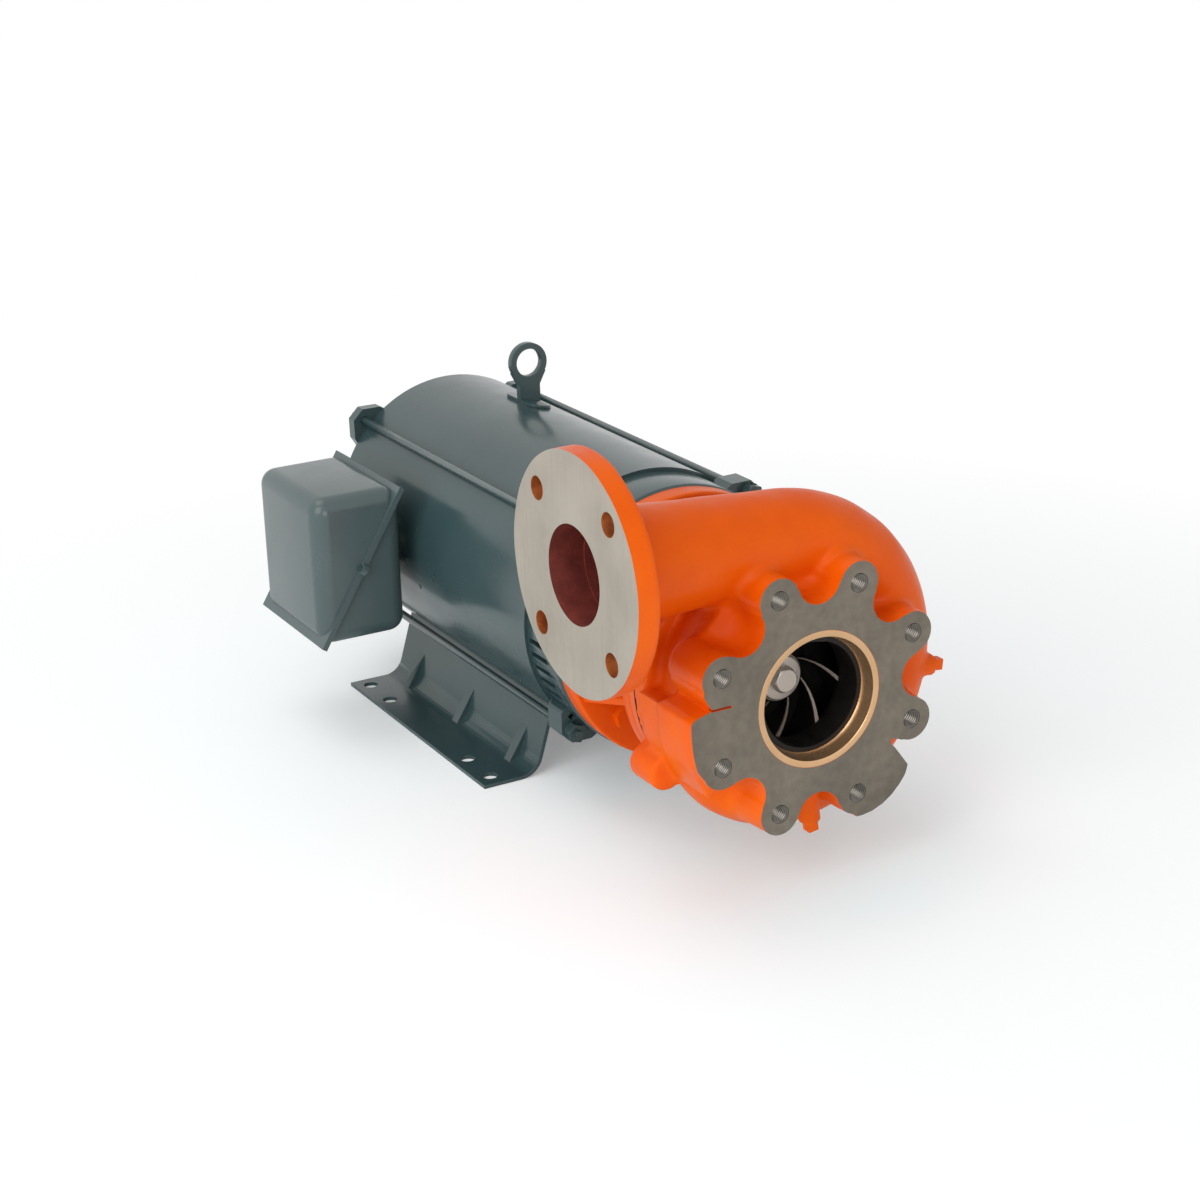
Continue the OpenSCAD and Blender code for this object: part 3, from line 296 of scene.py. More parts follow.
def iron(name, light, dark, rough, metal, bump):
    s = Shader(name, light, rough, metal=metal)
    s.color(s.mix(s.noise(70.0, 4.0, 0.65), dark, light))
    s.rough(s.levels(s.noise(140.0, 3.0, 0.6), 0.3, 0.7, rough - 0.1, rough + 0.12))
    s.bump(s.noise(420.0, 4.0, 0.65), bump, 0.0006)
    return s.mat


def impeller_material():
    """Dark iron, with a painted highlight: the vanes' leading edges, where they show in the eye,
    are coloured bright as if the light caught them.
    """
    s = Shader("impeller_iron", srgb(40, 37, 35), 0.45, metal=0.6)
    radius, along = s.from_axis()
    # Painted highlight: a mask of the vanes' front edges inside the eye, which get a bright colour
    # in place of light.
    highlight_cone = s.tree.nodes.new("ShaderNodeMath")
    highlight_cone.operation = "MULTIPLY_ADD"
    s.link(radius, highlight_cone.inputs[0])
    highlight_cone.inputs[1].default_value = 0.85
    s.link(along, highlight_cone.inputs[2])
    edge = s.tree.nodes.new("ShaderNodeMath")
    edge.operation = "MULTIPLY"
    s.link(s.levels(highlight_cone.outputs[0], 0.0745, 0.0755, 1.0, 0.0), edge.inputs[0])
    s.link(s.levels(radius, 0.0430, 0.0434, 1.0, 0.0), edge.inputs[1])
    dark = s.mix(s.noise(70.0, 4.0, 0.65), srgb(20, 18, 17), srgb(40, 37, 35))
    s.color(s.mix(edge.outputs[0], dark, srgb(122, 111, 103)))
    s.rough(s.levels(s.noise(140.0, 3.0, 0.6), 0.3, 0.7, 0.36, 0.56))
    s.bump(s.noise(420.0, 4.0, 0.65), 0.4, 0.0006)
    return s.mat


def brushed(name, light, dark, rough, stretch=(1.0, 0.05, 1.0)):
    s = Shader(name, light, rough, metal=1.0)
    lines = s.noise(700.0, 2.0, 0.6, stretch=stretch)
    s.color(s.mix(lines, dark, light))
    s.rough(s.levels(lines, 0.3, 0.7, rough - 0.06, rough + 0.1))
    s.bump(lines, 0.12, 0.0002)
    return s.mat


def dull(name, light, dark, rough):
    s = Shader(name, light, rough)
    s.color(s.mix(s.noise(90.0, 3.0, 0.6), dark, light))
    s.bump(s.noise(500.0, 2.0, 0.6), 0.25, 0.0004)
    return s.mat


def laminated():
    s = Shader("laminations", srgb(96, 96, 98), 0.4, metal=0.8)
    w = s.tree.nodes.new("ShaderNodeTexWave")
    w.bands_direction = "Y"
    w.inputs["Scale"].default_value = 320.0
    s.feed(w)
    s.color(s.mix(w.outputs["Fac"], srgb(60, 60, 62), srgb(120, 120, 122)))
    s.bump(w.outputs["Fac"], 0.4, 0.0004)
    return s.mat


def wound():
    s = Shader("winding_wire", srgb(150, 70, 36), 0.35, metal=0.4, coat=0.5)
    w = s.tree.nodes.new("ShaderNodeTexWave")
    w.bands_direction = "DIAGONAL"
    w.inputs["Scale"].default_value = 160.0
    w.inputs["Distortion"].default_value = 3.0
    s.feed(w)
    s.color(s.mix(w.outputs["Fac"], srgb(90, 36, 20), srgb(176, 92, 46)))
    s.bump(w.outputs["Fac"], 0.6, 0.001)
    return s.mat


MAT = {
    "casting_paint": cast_paint(),
    "motor_paint": enamel("motor_enamel", srgb(55, 76, 79), srgb(47, 67, 70)),
    "bronze": bronze(),
    "bare_iron": iron("bare_iron", srgb(120, 114, 106), srgb(84, 79, 74), 0.42, 0.8, 0.25),
    "impeller_iron": impeller_material(),
    "rubber": dull("rubber", srgb(34, 34, 35), srgb(22, 22, 23), 0.62),
    "ceramic": dull("ceramic", srgb(226, 222, 212), srgb(208, 203, 192), 0.25),
    "screw_steel": brushed("screw_steel", srgb(168, 168, 170), srgb(116, 116, 118), 0.34),
    "stainless": iron("stainless", srgb(206, 198, 188), srgb(176, 168, 160), 0.34, 0.7, 0.15),
    "shaft_steel": brushed(
        "shaft_steel", srgb(184, 184, 186), srgb(140, 140, 142), 0.22, (0.05, 1.0, 0.05)),
    "bearing_steel": brushed("bearing_steel", srgb(205, 205, 208), srgb(170, 170, 174), 0.12),
    "laminations": laminated(),
    "cast_aluminium": iron(
        "cast_aluminium", srgb(186, 186, 188), srgb(150, 150, 152), 0.42, 0.9, 0.3),
    "windings": wound(),
}
# Painted light: the box wears a lighter copy of the motor's enamel, standing in for more light on
# its faces.
BOX_ENAMEL_PAINTED_LIGHT = enamel("box_enamel_painted_light", srgb(76, 92, 94), srgb(68, 84, 86))
SUCTION = suction_face_material()
DISCHARGE = discharge_face_material()
PRIMER = primer()
TAPPED = tapped()
DRILLED = drilled()
OWN = {
    "casing_cover": cover_material(),
    "casing_screws": MAT["casting_paint"],
    "adapter_screws": MAT["casting_paint"],
}

slots = {p["node"]: p["material_slot"] for p in frame["record"]["subparts"]}
for name, obj in nodes.items():
    obj.data.materials.clear()
    obj.data.materials.append(OWN.get(name) or MAT[slots[name]])


def add_bevel(obj, width, angle):
    bevel = obj.modifiers.new("bevel", "BEVEL")
    bevel.width = width
    bevel.segments = 2
    bevel.limit_method = "ANGLE"
    bevel.angle_limit = math.radians(angle)
    bevel.use_clamp_overlap = True


def soften(name, width):
    """Rounds the visible edges of a CAD node with modifiers."""
    obj = nodes[name]
    weld = obj.modifiers.new("weld", "WELD")
    weld.merge_threshold = 0.00002
    add_bevel(obj, width, 32)


# Pieces built as meshes

def new_object(name, verts, faces, material):
    mesh = bpy.data.meshes.new(name)
    mesh.from_pydata([tuple(v) for v in verts], [], [tuple(f) for f in faces])
    mesh.update()
    obj = bpy.data.objects.new(name, mesh)
    bpy.context.scene.collection.objects.link(obj)
    mesh.materials.append(material)
    return obj


def closed(obj):
    bm = bmesh.new()
    bm.from_mesh(obj.data)
    whole = all(e.is_manifold for e in bm.edges)
    bm.free()
    return whole


def cut(obj, cutters, operation="DIFFERENCE"):
    """Applies one boolean with all the cutters, then removes them."""
    group = bpy.data.collections.new("cutters")
    for c in cutters:
        for old in list(c.users_collection):
            old.objects.unlink(c)
        group.objects.link(c)
    bpy.context.scene.collection.children.link(group)
    before = len(obj.data.polygons)
    for solver in ("MANIFOLD", "EXACT"):
        if solver == "MANIFOLD" and not closed(obj):
            continue
        mod = obj.modifiers.new("cut", "BOOLEAN")
        mod.operand_type = "COLLECTION"
        mod.collection = group
        mod.operation = operation
        mod.solver = solver
        bpy.context.view_layer.update()
        deps = bpy.context.evaluated_depsgraph_get()
        mesh = bpy.data.meshes.new_from_object(obj.evaluated_get(deps))
        obj.modifiers.remove(mod)
        if len(mesh.polygons) > before * 0.3 and len(mesh.polygons) != before:
            old = obj.data
            obj.data = mesh
            bpy.data.meshes.remove(old)
            break
        bpy.data.meshes.remove(mesh)
    for c in cutters:
        bpy.data.objects.remove(c)
    bpy.data.collections.remove(group)


def smooth(obj):
    """Smooth shading that keeps edges over 38 degrees sharp."""
    obj.data.shade_smooth()
    obj.data.set_sharp_from_angle(angle=math.radians(38))


def ring_points(n, radius):
    turns = [2 * math.pi * i / n for i in range(n)]
    return [(radius * math.cos(a), radius * math.sin(a)) for a in turns]


def end_caps(n, rings):
    """The end faces of a tube made of so many rings of n points."""
    last = (rings - 1) * n
    return [tuple(range(n - 1, -1, -1)), tuple(range(last, last + n))]


def rod(name, start, direction, radius, length, n=48, material=None):
    """Closed cylinder from start along direction, in millimetres."""
    d = Vector(direction).normalized()
    side = d.orthogonal().normalized()
    other = d.cross(side)
    verts = []
    for s in (0.0, length):
        centre = Vector(start) + d * s
        for a, b in ring_points(n, radius):
            verts.append((centre + side * a + other * b) * MM)
    faces = [(i, (i + 1) % n, n + (i + 1) % n, n + i) for i in range(n)]
    return new_object(name, verts, faces + end_caps(n, 2), material or MAT["casting_paint"])


TAP_R = 7.95
RIDGE_R = 7.0
TAP_PITCH = 2.3
TAP_RIDGES = 12


def tap_cutter(x, z, n=28):
    """Cutter for a tapped hole about (x, z), with the thread's ridges on its wall."""
    rings = [(-5.0, TAP_R), (0.6, TAP_R)]
    for i in range(TAP_RIDGES):
        rings += [(1.4 + TAP_PITCH * i, RIDGE_R), (3.15 + TAP_PITCH * i, TAP_R)]
    verts = [((x + b) * MM, y * MM, (z + a) * MM)
             for y, r in rings for a, b in ring_points(n, r)]
    faces = [(k * n + i, k * n + (i + 1) % n, (k + 1) * n + (i + 1) % n, (k + 1) * n + i)
             for k in range(len(rings) - 1) for i in range(n)]
    return new_object("tap", verts, faces + end_caps(n, len(rings)), MAT["casting_paint"])


def block(name, lo, hi, turn=0.0, material=None):
    """Closed box in millimetres, turned by turn degrees about the shaft axis."""
    c, s = math.cos(math.radians(turn)), math.sin(math.radians(turn))
    verts = []
    for x in (lo[0], hi[0]):
        for y in (lo[1], hi[1]):
            for z in (lo[2], hi[2]):
                verts.append(Vector((x * c - z * s, y, x * s + z * c)) * MM)
    faces = [(0, 1, 3, 2), (4, 6, 7, 5), (0, 4, 5, 1), (2, 3, 7, 6), (0, 2, 6, 4), (1, 5, 7, 3)]
    return new_object(name, verts, faces, material or MAT["casting_paint"])


# Signed distances of the casting, in millimetres

def smin(a, b, k):
    h = np.clip(0.5 + 0.5 * (b - a) / k, 0, 1)
    return b + (a - b) * h - k * h * (1 - h)


def smax(a, b, k):
    return -smin(-a, -b, k)


def polygon_distance(px, py, points):
    """Signed distance to a closed polygon in a plane."""
    best = np.full(px.shape, 1e9, px.dtype)
    inside = np.zeros(px.shape, bool)
    n = len(points)
    for i in range(n):
        ax, ay = points[i]
        bx, by = points[(i + 1) % n]
        ex, ey = bx - ax, by - ay
        wx, wy = px - ax, py - ay
        t = np.clip((wx * ex + wy * ey) / (ex * ex + ey * ey), 0, 1)
        best = np.minimum(best, (wx - ex * t) ** 2 + (wy - ey * t) ** 2)
        crosses = (ay > py) != (by > py)
        if ey:
            inside ^= crosses & (px < ex * (py - ay) / ey + ax)
    return np.sqrt(best) * np.where(inside, -1, 1)


def polar(r, degrees):
    return (r * math.cos(math.radians(degrees)), r * math.sin(math.radians(degrees)))


def arc(r, a0, a1, steps):
    return [polar(r, a0 + (a1 - a0) * i / steps) for i in range(steps + 1)]


def quarter(r0, y0, r1, y1, steps=10):
    """Points of a quarter ellipse from (r0, y0) to (r1, y1)."""
    turns = [math.pi / 2 * i / steps for i in range(steps + 1)]
    return [(r1 - (r1 - r0) * math.cos(a), y0 + (y1 - y0) * math.sin(a)) for a in turns]


BOLT_R = 95.25  # suction bolt circle
DISCHARGE_BOLT_R = 76.2
BOLT_HOLE_R = 9.525
VOLUTE_Y = 62.0  # plane of the scroll's centre line
THROAT_Z = 114.0  # height of the nozzle's centre line over the shaft
BACK_Y = 98.0  # seat of the cover
REACH = 177.6  # from the shaft to the discharge face
DISCHARGE_Z = 118.3  # height of the nozzle's centre line at that face
TILT = math.atan2(4.3, REACH)
SUCTION_HOLES = [polar(BOLT_R, 22.5 + 45 * i) for i in range(8)]
DISCHARGE_HOLES = [polar(DISCHARGE_BOLT_R, 45 + 90 * i) for i in range(4)]


def lug_outline(x, z, grow):
    """Distance to the outline of the suction face: a hub with eight lugs and two wide pads."""
    d = np.hypot(x, z) - BOLT_R
    for cx, cz in SUCTION_HOLES:
        d = smin(d, np.hypot(x - cx, z - cz) - 17.5 - grow, 1.5)
    for i in range(8):
        cx, cz = polar(97.0, 45 * i)
        d = smax(d, 19.0 - grow - np.hypot(x - cx, z - cz), 1.5)
    outer = BOLT_R + 20.5
    pad_a = polygon_distance(x, z, [
        (0, 0), (-88, 36), (-104.5, 26), (-101, 18.7), (-96.5, 12.4), (-112, 8.4),
        *arc(outer, 177.4, 197, 10), polar(outer - 0.8, 199), polar(outer - 2.6, 201.5),
    ]) - grow * 0.5
    pad_b = polygon_distance(x, z, [(0, 0)] + [polar(r, a) for r, a in (
        (82, -36.5), (113.5, -41.4), (117.2, -45), (118.8, -49.5), (119.9, -54.5),
        (120.1, -59.5), (118.7, -64.5), (116.2, -69), (113.8, -72),
    )]) - grow * 0.5
    return smin(d, np.minimum(pad_a, pad_b), 2.0)


def casting_parts(p):
    """Distances to the casting's outside, to its water passage and to the cover's seat."""
    x, y, z = p[:, 0], p[:, 1], p[:, 2]
    rho = np.hypot(x, z)
    turn = np.degrees(np.arctan2(z, x)) % 360
    t = ((turn - 180) % 360) / 270
    # The passage's radius grows with the square root of the angle from the lip
    passage = 30 * np.sqrt(np.clip(t, 0, 1))
    ring = np.hypot(rho - (84 + passage), y - VOLUTE_Y)
    ct, st = math.cos(TILT), math.sin(TILT)
    along = -x * ct + (z - THROAT_Z) * st
    across = (z - THROAT_Z) * ct + x * st
    pipe = np.hypot(across, y - VOLUTE_Y)
    share = np.clip(along / 168.0, -0.1, 1.1)
    on_nozzle = (t > 1) & (x < 0)
    shell = np.where(
        on_nozzle, smax(pipe - (38 + 9 * share), along - 172, 2.0), ring - (passage + 8))
    hollow = np.where(
        on_nozzle, smax(pipe - (30 + 8.4 * share), along - 174, 1.0), ring - passage)

    # Round body, joint flange and suction lugs, then a wedge and a lobe behind the wide pad
    body = polygon_distance(rho, y, [(0, 20), (74, 20), (96, 42), (96, 106), (0, 106)])
    joint = smax(rho - 108, np.abs(y - 93) - 13, 2.0)
    lugs = smax(lug_outline(x, z, 0.055 * np.clip(y, 0, 60)), np.abs(y - 20) - 28, 5.0)
    wedge = polygon_distance(x, z, [(0, 0)] + arc(BOLT_R + 19.5, 177, 214, 14))
    wedge = smax(wedge, np.abs(y - 44) - 36, 3.0)
    ca, sa = polar(1, 210)
    lobe_along = np.clip(x * ca + z * sa, 0, 118)
    lobe = np.hypot(x - lobe_along * ca, z - lobe_along * sa) - 15
    lobe = smax(lobe, np.abs(y - 76) - 18, 4.0)
    outer = smin(shell, body, 10.0)
    outer = smin(outer, joint, 5.0)
    outer = smin(outer, lugs, 9.0)
    outer = smin(outer, wedge, 6.0)
    outer = smin(outer, lobe, 6.0)
    # Bosses of the gauge plug and the drain plug
    for angle, by, reach in ((-6.0, 42.0, 138.5), (-82.0, 38.0, 122.5)):
        ca, sa = polar(1, angle)
        a = x * ca + z * sa
        off = np.hypot(-x * sa + z * ca, y - by)
        outer = smin(outer, smax(smax(off - 9, a - reach, 1.5), 60 - a, 2.0), 3.0)
    # Discharge flange
    flange = smax(np.hypot(y - VOLUTE_Y, z - DISCHARGE_Z) - 94.95, x + REACH - 19, 3.0)
    outer = smin(outer, smax(flange, -x - REACH - 8, 1.0), 9.0)
    # The casting's slight unevenness
    outer += np.sin(x * 0.11 + 1.3) * np.sin(y * 0.13 + 0.4) * np.sin(z * 0.12 + 2.1) * 0.35

    chamber = polygon_distance(rho, y, [
        (0, -20), (54, -20), (54, 24), *quarter(52.5, 26, 88, 45), (88, 120), (0, 120),
    ])
    return outer, smin(hollow, chamber, 3.0), smax(BACK_Y - y, rho - 109, 0.5)


def casting_distance(p):
    outer, inner, back = casting_parts(p)
    return smax(smax(outer, -inner, 3.0), -back, 0.5)


def surface_net(field, origin, step):
    """Closed quad mesh where the sampled field changes sign."""
    neg = field < 0
    nx, ny, nz = field.shape
    corners = [(i, j, k) for i in (0, 1) for j in (0, 1) for k in (0, 1)]
    count = np.zeros((nx - 1, ny - 1, nz - 1), np.int8)
    for i, j, k in corners:
        count += neg[i:nx - 1 + i, j:ny - 1 + j, k:nz - 1 + k]
    active = (count > 0) & (count < 8)
    index = np.full(active.shape, -1, np.int64)
    cells = np.argwhere(active)
    index[active] = np.arange(len(cells))
    total = np.zeros((len(cells), 3))
    weight = np.zeros(len(cells))
    for axis in range(3):
        for a in (0, 1):
            for b in (0, 1):
                start = [0, 0, 0]
                others = [i for i in range(3) if i != axis]
                start[others[0]], start[others[1]] = a, b
                end = list(start)
                end[axis] = 1
                v0 = field[cells[:, 0] + start[0], cells[:, 1] + start[1], cells[:, 2] + start[2]]
                v1 = field[cells[:, 0] + end[0], cells[:, 1] + end[1], cells[:, 2] + end[2]]
                hit = (v0 < 0) != (v1 < 0)
                t = np.where(hit, v0 / np.where(hit, v0 - v1, 1), 0)
                point = np.array(start, float)[None, :] + 0 * cells
                point[:, axis] = t
                total[hit] += point[hit]
                weight[hit] += 1
    verts = origin + (cells + total / weight[:, None]) * step
    quads = []
    for axis in range(3):
        others = [i for i in range(3) if i != axis]
        sl0 = [slice(1, -1)] * 3
        sl1 = [slice(1, -1)] * 3
        sl0[axis] = slice(0, -1)
        sl1[axis] = slice(1, None)
        s0, s1 = neg[tuple(sl0)], neg[tuple(sl1)]
        change = np.argwhere(s0 != s1)
        flip = s0[tuple(change.T)]
        base = change.copy()
        for o in others:
            base[:, o] += 1
        ring = []
        for da, db in ((0, 0), (1, 0), (1, 1), (0, 1)):
            c = base.copy()
            c[:, others[0]] -= 1 - da
            c[:, others[1]] -= 1 - db
            ring.append(index[c[:, 0], c[:, 1], c[:, 2]])
        q = np.stack(ring, 1)
        turned = flip if axis != 1 else ~flip
        q[~turned] = q[~turned][:, ::-1]
        quads.append(q)
    return verts, np.concatenate(quads)


def refine(verts, distance, steps=3):
    """Moves each vertex onto the exact surface."""
    e = 0.25
    for _ in range(steps):
        d = distance(verts)
        grad = np.empty_like(verts)
        for axis in range(3):
            q = verts.copy()
            q[:, axis] += e
            grad[:, axis] = (distance(q) - d) / e
        size = np.maximum((grad ** 2).sum(1), 0.25)
        move = -(d / size)[:, None] * grad
        length = np.linalg.norm(move, axis=1)
        move *= np.minimum(1, 1.2 / np.maximum(length, 1e-9))[:, None]
        verts = verts + move
    return verts


def sample(distance, lo, hi, step):
    lo = np.array(lo, float)
    n = np.ceil((np.array(hi) - lo) / step).astype(int) + 1
    axes = [np.arange(n[i], dtype=np.float32) * step + lo[i] for i in range(3)]
    field = np.empty(n, np.float32)
    yy, zz = np.meshgrid(axes[1], axes[2], indexing="ij")
    slab = 12
    for i in range(0, n[0], slab):
        xs = axes[0][i:i + slab]
        pts = np.stack([
            np.repeat(xs, yy.size),
            np.tile(yy.ravel(), len(xs)),
            np.tile(zz.ravel(), len(xs)),
        ], 1)
        field[i:i + slab] = distance(pts).reshape(len(xs), n[1], n[2])
    return surface_net(field, lo, step)


def paint(obj, rule):
    """Gives each face the material index that rule(centre in mm, normal) returns."""
    mesh = obj.data
    n = len(mesh.polygons)
    centre = np.empty(n * 3)
    normal = np.empty(n * 3)
    mesh.polygons.foreach_get("center", centre)
    mesh.polygons.foreach_get("normal", normal)
    index = rule(centre.reshape(-1, 3) * 1000, normal.reshape(-1, 3)).astype(np.int32)
    mesh.polygons.foreach_set("material_index", index)
    mesh.update()


def hole_distance(a, b, holes):
    """Distance from the points (a, b) to the nearest hole's centre."""
    best = np.full(len(a), 1e9)
    for hole_a, hole_b in holes:
        best = np.minimum(best, np.hypot(a - hole_a, b - hole_b))
    return best


def build_casting():
    step = 2.2
    verts, faces = sample(casting_distance, (-189, -37, -138), (158, 161, 216.5), step)
    verts = refine(verts, casting_distance)
    obj = new_object("volute_cast", verts * MM, faces.tolist(), MAT["casting_paint"])
    cut(obj, [block("front_plane", (-125, -60, -150), (150, 0, 125))])
    cut(obj, [block("side_plane", (-260, -60, -20), (-REACH, 190, 260))])
    cutters = [
        rod("bore_cut", (-REACH - 5, VOLUTE_Y, DISCHARGE_Z), (1, 0, 0), 39.0, 35.0, 96),
        rod("ring_seat", (0, -5, 0), (0, 1, 0), 56.0, 29.0, 128),
        rod("back_seat", (0, 97.9, 0), (0, 1, 0), 88.0, 12.0, 128),
    ]
    cutters += [tap_cutter(*place) for place in SUCTION_HOLES]
    for y, z in DISCHARGE_HOLES:
        start = (-REACH - 5, VOLUTE_Y + y, DISCHARGE_Z + z)
        cutters.append(rod("bolt", start, (1, 0, 0), BOLT_HOLE_R, 34.0, 32))
    cutters.append(block("slit_a", (-98, -3, 11.4), (-79.5, 26, 13.2)))
    cutters.append(block("slit_b", (87, -3, -1.2), (130, 26, 1.2), -37.5))
    cut(obj, cutters)
    for m in (SUCTION, DISCHARGE, PRIMER, TAPPED, DRILLED, MAT["bare_iron"]):
        obj.data.materials.append(m)

    def rule(c, n):
        """Material index of each face, by the order in which they were added above."""
        x, y, z = c.T
        outer, inner, _ = casting_parts(c)
        depth = x + REACH
        from_bore = np.hypot(y - VOLUTE_Y, z - DISCHARGE_Z)
        from_tap = hole_distance(x, z, SUCTION_HOLES)
        from_bolt = hole_distance(y - VOLUTE_Y, z - DISCHARGE_Z, DISCHARGE_HOLES)
        bore = (depth < 36) & (from_bore < 39.2) & (depth > 0.1)
        index = np.zeros(len(c))
        index[((inner < 1.0) & (outer < -2.5)) | bore] = 3
        index[(n[:, 1] < -0.9) & (np.abs(y) < 0.05)] = 1
        index[(n[:, 0] < -0.9) & (np.abs(depth) < 0.05)] = 2
        index[(from_tap < 8.0) & (y > 0.06) & (y < 31)] = 4
        index[(from_bolt < 9.6) & (depth > 0.06) & (depth < 30)] = 5
        index[(n[:, 1] > 0.9) & (np.abs(y - BACK_Y) < 0.3) & (np.hypot(x, z) < 108)] = 6
        return index

    paint(obj, rule)
    smooth(obj)
    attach(obj, "pump_body")
    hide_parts("volute_casing")


build_casting()


def build_ring():
    """The bronze ring: its mouth narrows in a smooth bore to the impeller's eye."""
    profile = [
        (51.0, 0.0), (55.7, 0.0), (56.0, 0.3), (56.0, 24.0), (47.3, 24.0), (47.3, 12.3),
        (47.5, 11.8), (48.0, 11.2), (49.0, 8.2), (49.8, 5.0), (50.4, 1.8), (50.6, 0.3),
    ]
    turns = 160
    verts = []
    for i in range(turns):
        a = 2 * math.pi * i / turns
        verts += [(r * math.cos(a) * MM, y * MM, r * math.sin(a) * MM) for r, y in profile]
    n = len(profile)
    faces = []
    for i in range(turns):
        here, there = i * n, (i + 1) % turns * n
        for k in range(n):
            m = (k + 1) % n
            faces.append((here + k, here + m, there + m, there + k))
    obj = new_object("wear_ring_turned", verts, faces, MAT["bronze"])
    smooth(obj)
    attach(obj, "pump_body")
    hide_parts("casing_wear_ring")


build_ring()


# Conduit box, pressed from sheet, and the nuts on the front ends of the tie rods

BOX = (85.0, 135.0, 137.0)
BOX_AT = (-177.5, 529.5, 7.5)
CORNER_R = 15.0
WALL = 2.5
LIP = 2.5
LIP_OUT = 3.5
EAR_R = 5.5
SCREW_AT = 70.53
SCREW_HOLE_R = 1.75
NECK_R = 17.0
ROD_CIRCLE_R = 126.7


def rounded_box(name, size, radius):
    """Closed box about the origin, in millimetres, with all its edges and corners rounded."""
    bm = bmesh.new()
    bmesh.ops.create_cube(bm, size=1.0)
    bmesh.ops.scale(bm, vec=Vector(size) * MM, verts=bm.verts)
    bmesh.ops.bevel(
        bm, geom=list(bm.edges), offset=radius * MM, segments=7, profile=0.5, affect="EDGES",
        clamp_overlap=True)
    bm.normal_update()
    mesh = bpy.data.meshes.new(name)
    bm.to_mesh(mesh)
    bm.free()
    obj = bpy.data.objects.new(name, mesh)
    bpy.context.scene.collection.objects.link(obj)
    mesh.materials.append(BOX_ENAMEL_PAINTED_LIGHT)
    return obj


def build_box():
    """The box's two halves, which part along its diagonal, each with a lip and two ears."""
    tilt = Matrix.Rotation(-math.atan2(BOX[2], BOX[0]), 4, "Y")
    half = math.hypot(BOX[0], BOX[2]) / 2
    lip_y = BOX[1] / 2 + LIP_OUT
    for node, lo, hi in (("conduit_box_cover", 0.0, LIP), ("conduit_box_base", -LIP, 0.0)):
        obj = rounded_box(node + "_pressed", BOX, CORNER_R)
        away = (-200, 0) if node == "conduit_box_cover" else (0, 200)
        other = block(
            "other_half", (-200, -200, away[0]), (200, 200, away[1]), material=BOX_ENAMEL_PAINTED_LIGHT)
        other.data.transform(tilt)
        cut(obj, [other])
        edge = [block("lip", (-half, -lip_y, lo), (half, lip_y, hi), material=BOX_ENAMEL_PAINTED_LIGHT)]
        edge += [rod("ear", (0, y, lo), (0, 0, 1), EAR_R, LIP, 40, BOX_ENAMEL_PAINTED_LIGHT)
                 for y in (-SCREW_AT, SCREW_AT)]
        for e in edge:
            e.data.transform(tilt)
        cut(obj, edge, "UNION")
        holes = [rod("screw_hole", (0, y, -6), (0, 0, 1), SCREW_HOLE_R, 12, 24, BOX_ENAMEL_PAINTED_LIGHT)
                 for y in (-SCREW_AT, SCREW_AT)]
        for h in holes:
            h.data.transform(tilt)
        holes.append(rounded_box("inside", [v - 2 * WALL for v in BOX], CORNER_R - WALL))
        if node == "conduit_box_base":
            holes.append(rod("neck_hole", (35, 0, 0), (1, 0, 0), NECK_R, 15.0, 64, BOX_ENAMEL_PAINTED_LIGHT))
        cut(obj, holes)
        obj.data.transform(Matrix.Translation(Vector(BOX_AT) * MM))
        smooth(obj)
        add_bevel(obj, 0.0007, 50)
        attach(obj, "pump_body")
        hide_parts(node)


def build_front_nuts():
    """Washer, hex nut and rod end on the front of each tie rod."""
    for i, angle in enumerate((45, 135, 225, 315)):
        x, z = polar(ROD_CIRCLE_R, angle)
        obj, nut, end = (
            rod(part, (x, y, z), (0, -1, 0), radius, length, sides, MAT["motor_paint"])
            for part, y, radius, length, sides in (
                ("washer", 236.0, 9.0, 1.6, 40), ("nut", 234.6, 8.7, 7.0, 6),
                ("end", 228.0, 3.5, 4.0, 24),
            )
        )
        cut(obj, [nut, end], "UNION")
        obj.name = "rod_front_nut_%d" % i
        add_bevel(obj, 0.0007, 40)
        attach(obj, "pump_body")


build_box()
build_front_nuts()

for name, width in (
    ("motor_adapter", 0.0012), ("front_bracket", 0.0012), ("rear_bracket", 0.0015),
    ("motor_base", 0.0008), ("lifting_eye", 0.0022), ("tie_rods", 0.0007),
    ("tie_rod_nuts", 0.0006), ("casing_screws", 0.0006), ("adapter_screws", 0.0008),
    ("drain_plug", 0.0009), ("gauge_plug", 0.0009), ("impeller_screw", 0.0006),
    ("impeller_washer", 0.0004), ("conduit_neck", 0.0006), ("casing_cover", 0.0006),
):
    soften(name, width)


# Floor, backdrop and studio light

def round_patch(s, shift, scale):
    """One at -shift / scale on the floor, falling to nothing at 1 / scale from there."""
    gradient = s.tree.nodes.new("ShaderNodeTexGradient")
    gradient.gradient_type = "SPHERICAL"
    mapping = s.tree.nodes.new("ShaderNodeMapping")
    mapping.inputs["Location"].default_value = shift
    mapping.inputs["Scale"].default_value = (scale, scale, 0.0)
    s.link(s.coord.outputs["Object"], mapping.inputs["Vector"])
    s.link(mapping.outputs[0], gradient.inputs["Vector"])
    return gradient.outputs["Fac"]


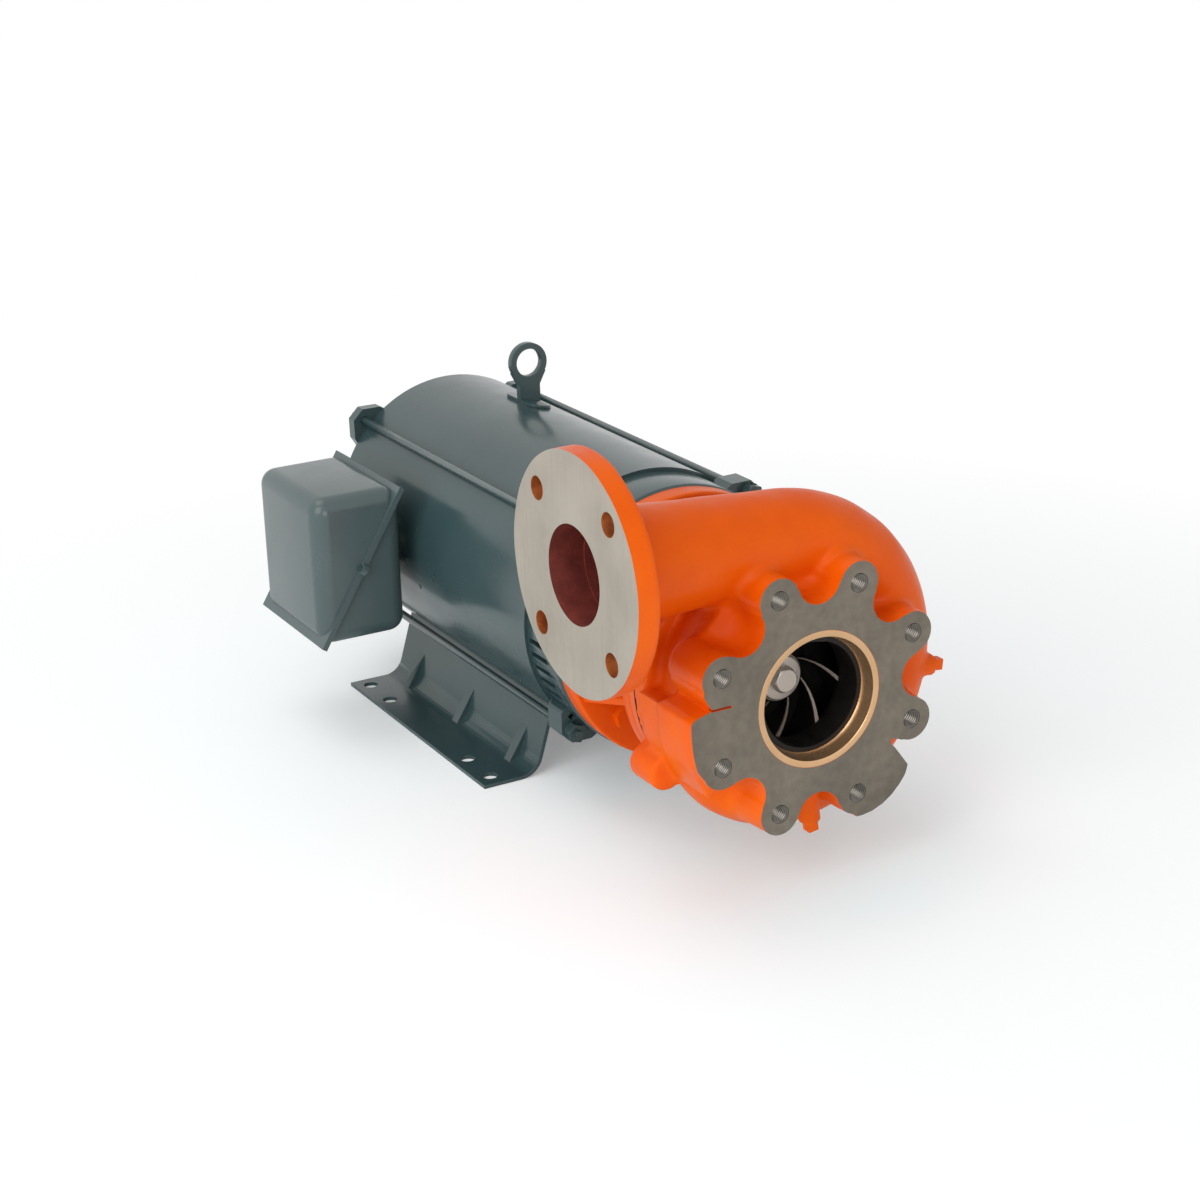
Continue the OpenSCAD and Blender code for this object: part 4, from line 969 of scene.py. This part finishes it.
def make_stage():
    """A floor with the object's shadow, which turns plain white away from the object. A cooler
    patch under the casting takes back the orange light that falls there."""
    size = 9.0
    corners = ((-size, -size), (size, -size), (size, size), (-size, size))
    pale = (0.91, 0.955, 0.965)
    s = Shader("floor", pale, 0.75, spec=0.15)
    under = s.levels(round_patch(s, (-0.045, -0.495, 0.0), 4.5), 0.0, 0.7, 0.0, 1.0)
    s.color(s.mix(under, pale, (0.70, 0.95, 0.985)))
    near = round_patch(s, (0.0, -0.16, 0.0), 0.55)
    white = s.tree.nodes.new("ShaderNodeEmission")
    white.inputs["Color"].default_value = (1, 1, 1, 1)
    white.inputs["Strength"].default_value = 1.0
    path = s.tree.nodes.new("ShaderNodeLightPath")
    lift = s.tree.nodes.new("ShaderNodeEmission")
    lift.inputs["Color"].default_value = (1, 1, 1, 1)
    s.link(s.levels(path.outputs["Is Camera Ray"], 0.0, 1.0, 0.0, 0.15), lift.inputs["Strength"])
    lit = s.tree.nodes.new("ShaderNodeAddShader")
    s.link(s.bsdf.outputs[0], lit.inputs[0])
    s.link(lift.outputs[0], lit.inputs[1])
    mix = s.tree.nodes.new("ShaderNodeMixShader")
    s.link(s.levels(near, 0.45, 0.84, 0.0, 0.9), mix.inputs[0])
    s.link(white.outputs[0], mix.inputs[1])
    s.link(lit.outputs[0], mix.inputs[2])
    s.link(mix.outputs[0], s.out.inputs["Surface"])
    new_object("floor", [(x, y, FLOOR_Z) for x, y in corners], [(0, 1, 2, 3)], s.mat)


def light(name, place, target, size, power, color=(1, 1, 1), size_y=None, glossy=False):
    data = bpy.data.lights.new(name, "AREA")
    data.shape = "RECTANGLE"
    data.size = size
    data.size_y = size_y or size
    data.energy = power
    data.color = color
    obj = bpy.data.objects.new(name, data)
    bpy.context.scene.collection.objects.link(obj)
    obj.visible_glossy = glossy
    obj.location = place
    obj.rotation_euler = (Vector(target) - Vector(place)).to_track_quat("-Z", "Y").to_euler()


def make_world():
    """Even soft light on the object, seen as plain white."""
    world = bpy.data.worlds.new("studio")
    bpy.context.scene.world = world
    world.use_nodes = True
    tree = world.node_tree
    tree.nodes.clear()
    out = tree.nodes.new("ShaderNodeOutputWorld")
    soft = tree.nodes.new("ShaderNodeBackground")
    soft.inputs["Strength"].default_value = 1.0
    where = tree.nodes.new("ShaderNodeTexCoord")
    lean = tree.nodes.new("ShaderNodeVectorMath")
    lean.operation = "DOT_PRODUCT"
    lean.inputs[1].default_value = (0.10, 0.62, 0.50)
    tree.links.new(where.outputs["Generated"], lean.inputs[0])
    ramp = tree.nodes.new("ShaderNodeValToRGB")
    tree.links.new(lean.outputs["Value"], ramp.inputs[0])
    ramp.color_ramp.elements[0].position = 0.0
    ramp.color_ramp.elements[0].color = (0.42, 0.42, 0.43, 1)
    ramp.color_ramp.elements[1].position = 0.75
    ramp.color_ramp.elements[1].color = (0.46, 0.46, 0.45, 1)
    tree.links.new(ramp.outputs[0], soft.inputs["Color"])
    seen = tree.nodes.new("ShaderNodeBackground")
    seen.inputs["Color"].default_value = (1, 1, 1, 1)
    seen.inputs["Strength"].default_value = 1.0
    path = tree.nodes.new("ShaderNodeLightPath")
    direct = path.outputs["Is Camera Ray"]
    for ray in ("Is Glossy Ray", "Is Transmission Ray"):
        either = tree.nodes.new("ShaderNodeMath")
        either.operation = "MAXIMUM"
        tree.links.new(direct, either.inputs[0])
        tree.links.new(path.outputs[ray], either.inputs[1])
        direct = either.outputs[0]
    mix = tree.nodes.new("ShaderNodeMixShader")
    tree.links.new(direct, mix.inputs[0])
    tree.links.new(soft.outputs[0], mix.inputs[1])
    tree.links.new(seen.outputs[0], mix.inputs[2])
    tree.links.new(mix.outputs[0], out.inputs["Surface"])


make_stage()
make_world()
light("key", (-2.3, -0.9, 1.5), (0, 0.15, 0), 2.1, 31, glossy=True)
light("side", (-2.4, -0.5, 0.35), (0, 0.15, 0), 1.2, 13, size_y=0.7)
light("top", (-0.7, 0.9, 2.3), (0, 0.25, 0), 1.6, 14, glossy=True)
light("fill", (-0.5, -2.6, 0.6), (0, 0.1, 0), 1.3, 17, glossy=True)
light("back", (1.2, 3.4, 1.7), (0.1, 0.2, 0.05), 3.0, 10, (1.0, 0.97, 0.94), size_y=1.4)
light("glint", (-0.9, -0.5, 1.6), (0, 0.2, 0), 0.30, 1.0, glossy=True)
scene = bpy.context.scene
scene.view_settings.view_transform = "Standard"
scene.view_settings.look = "None"
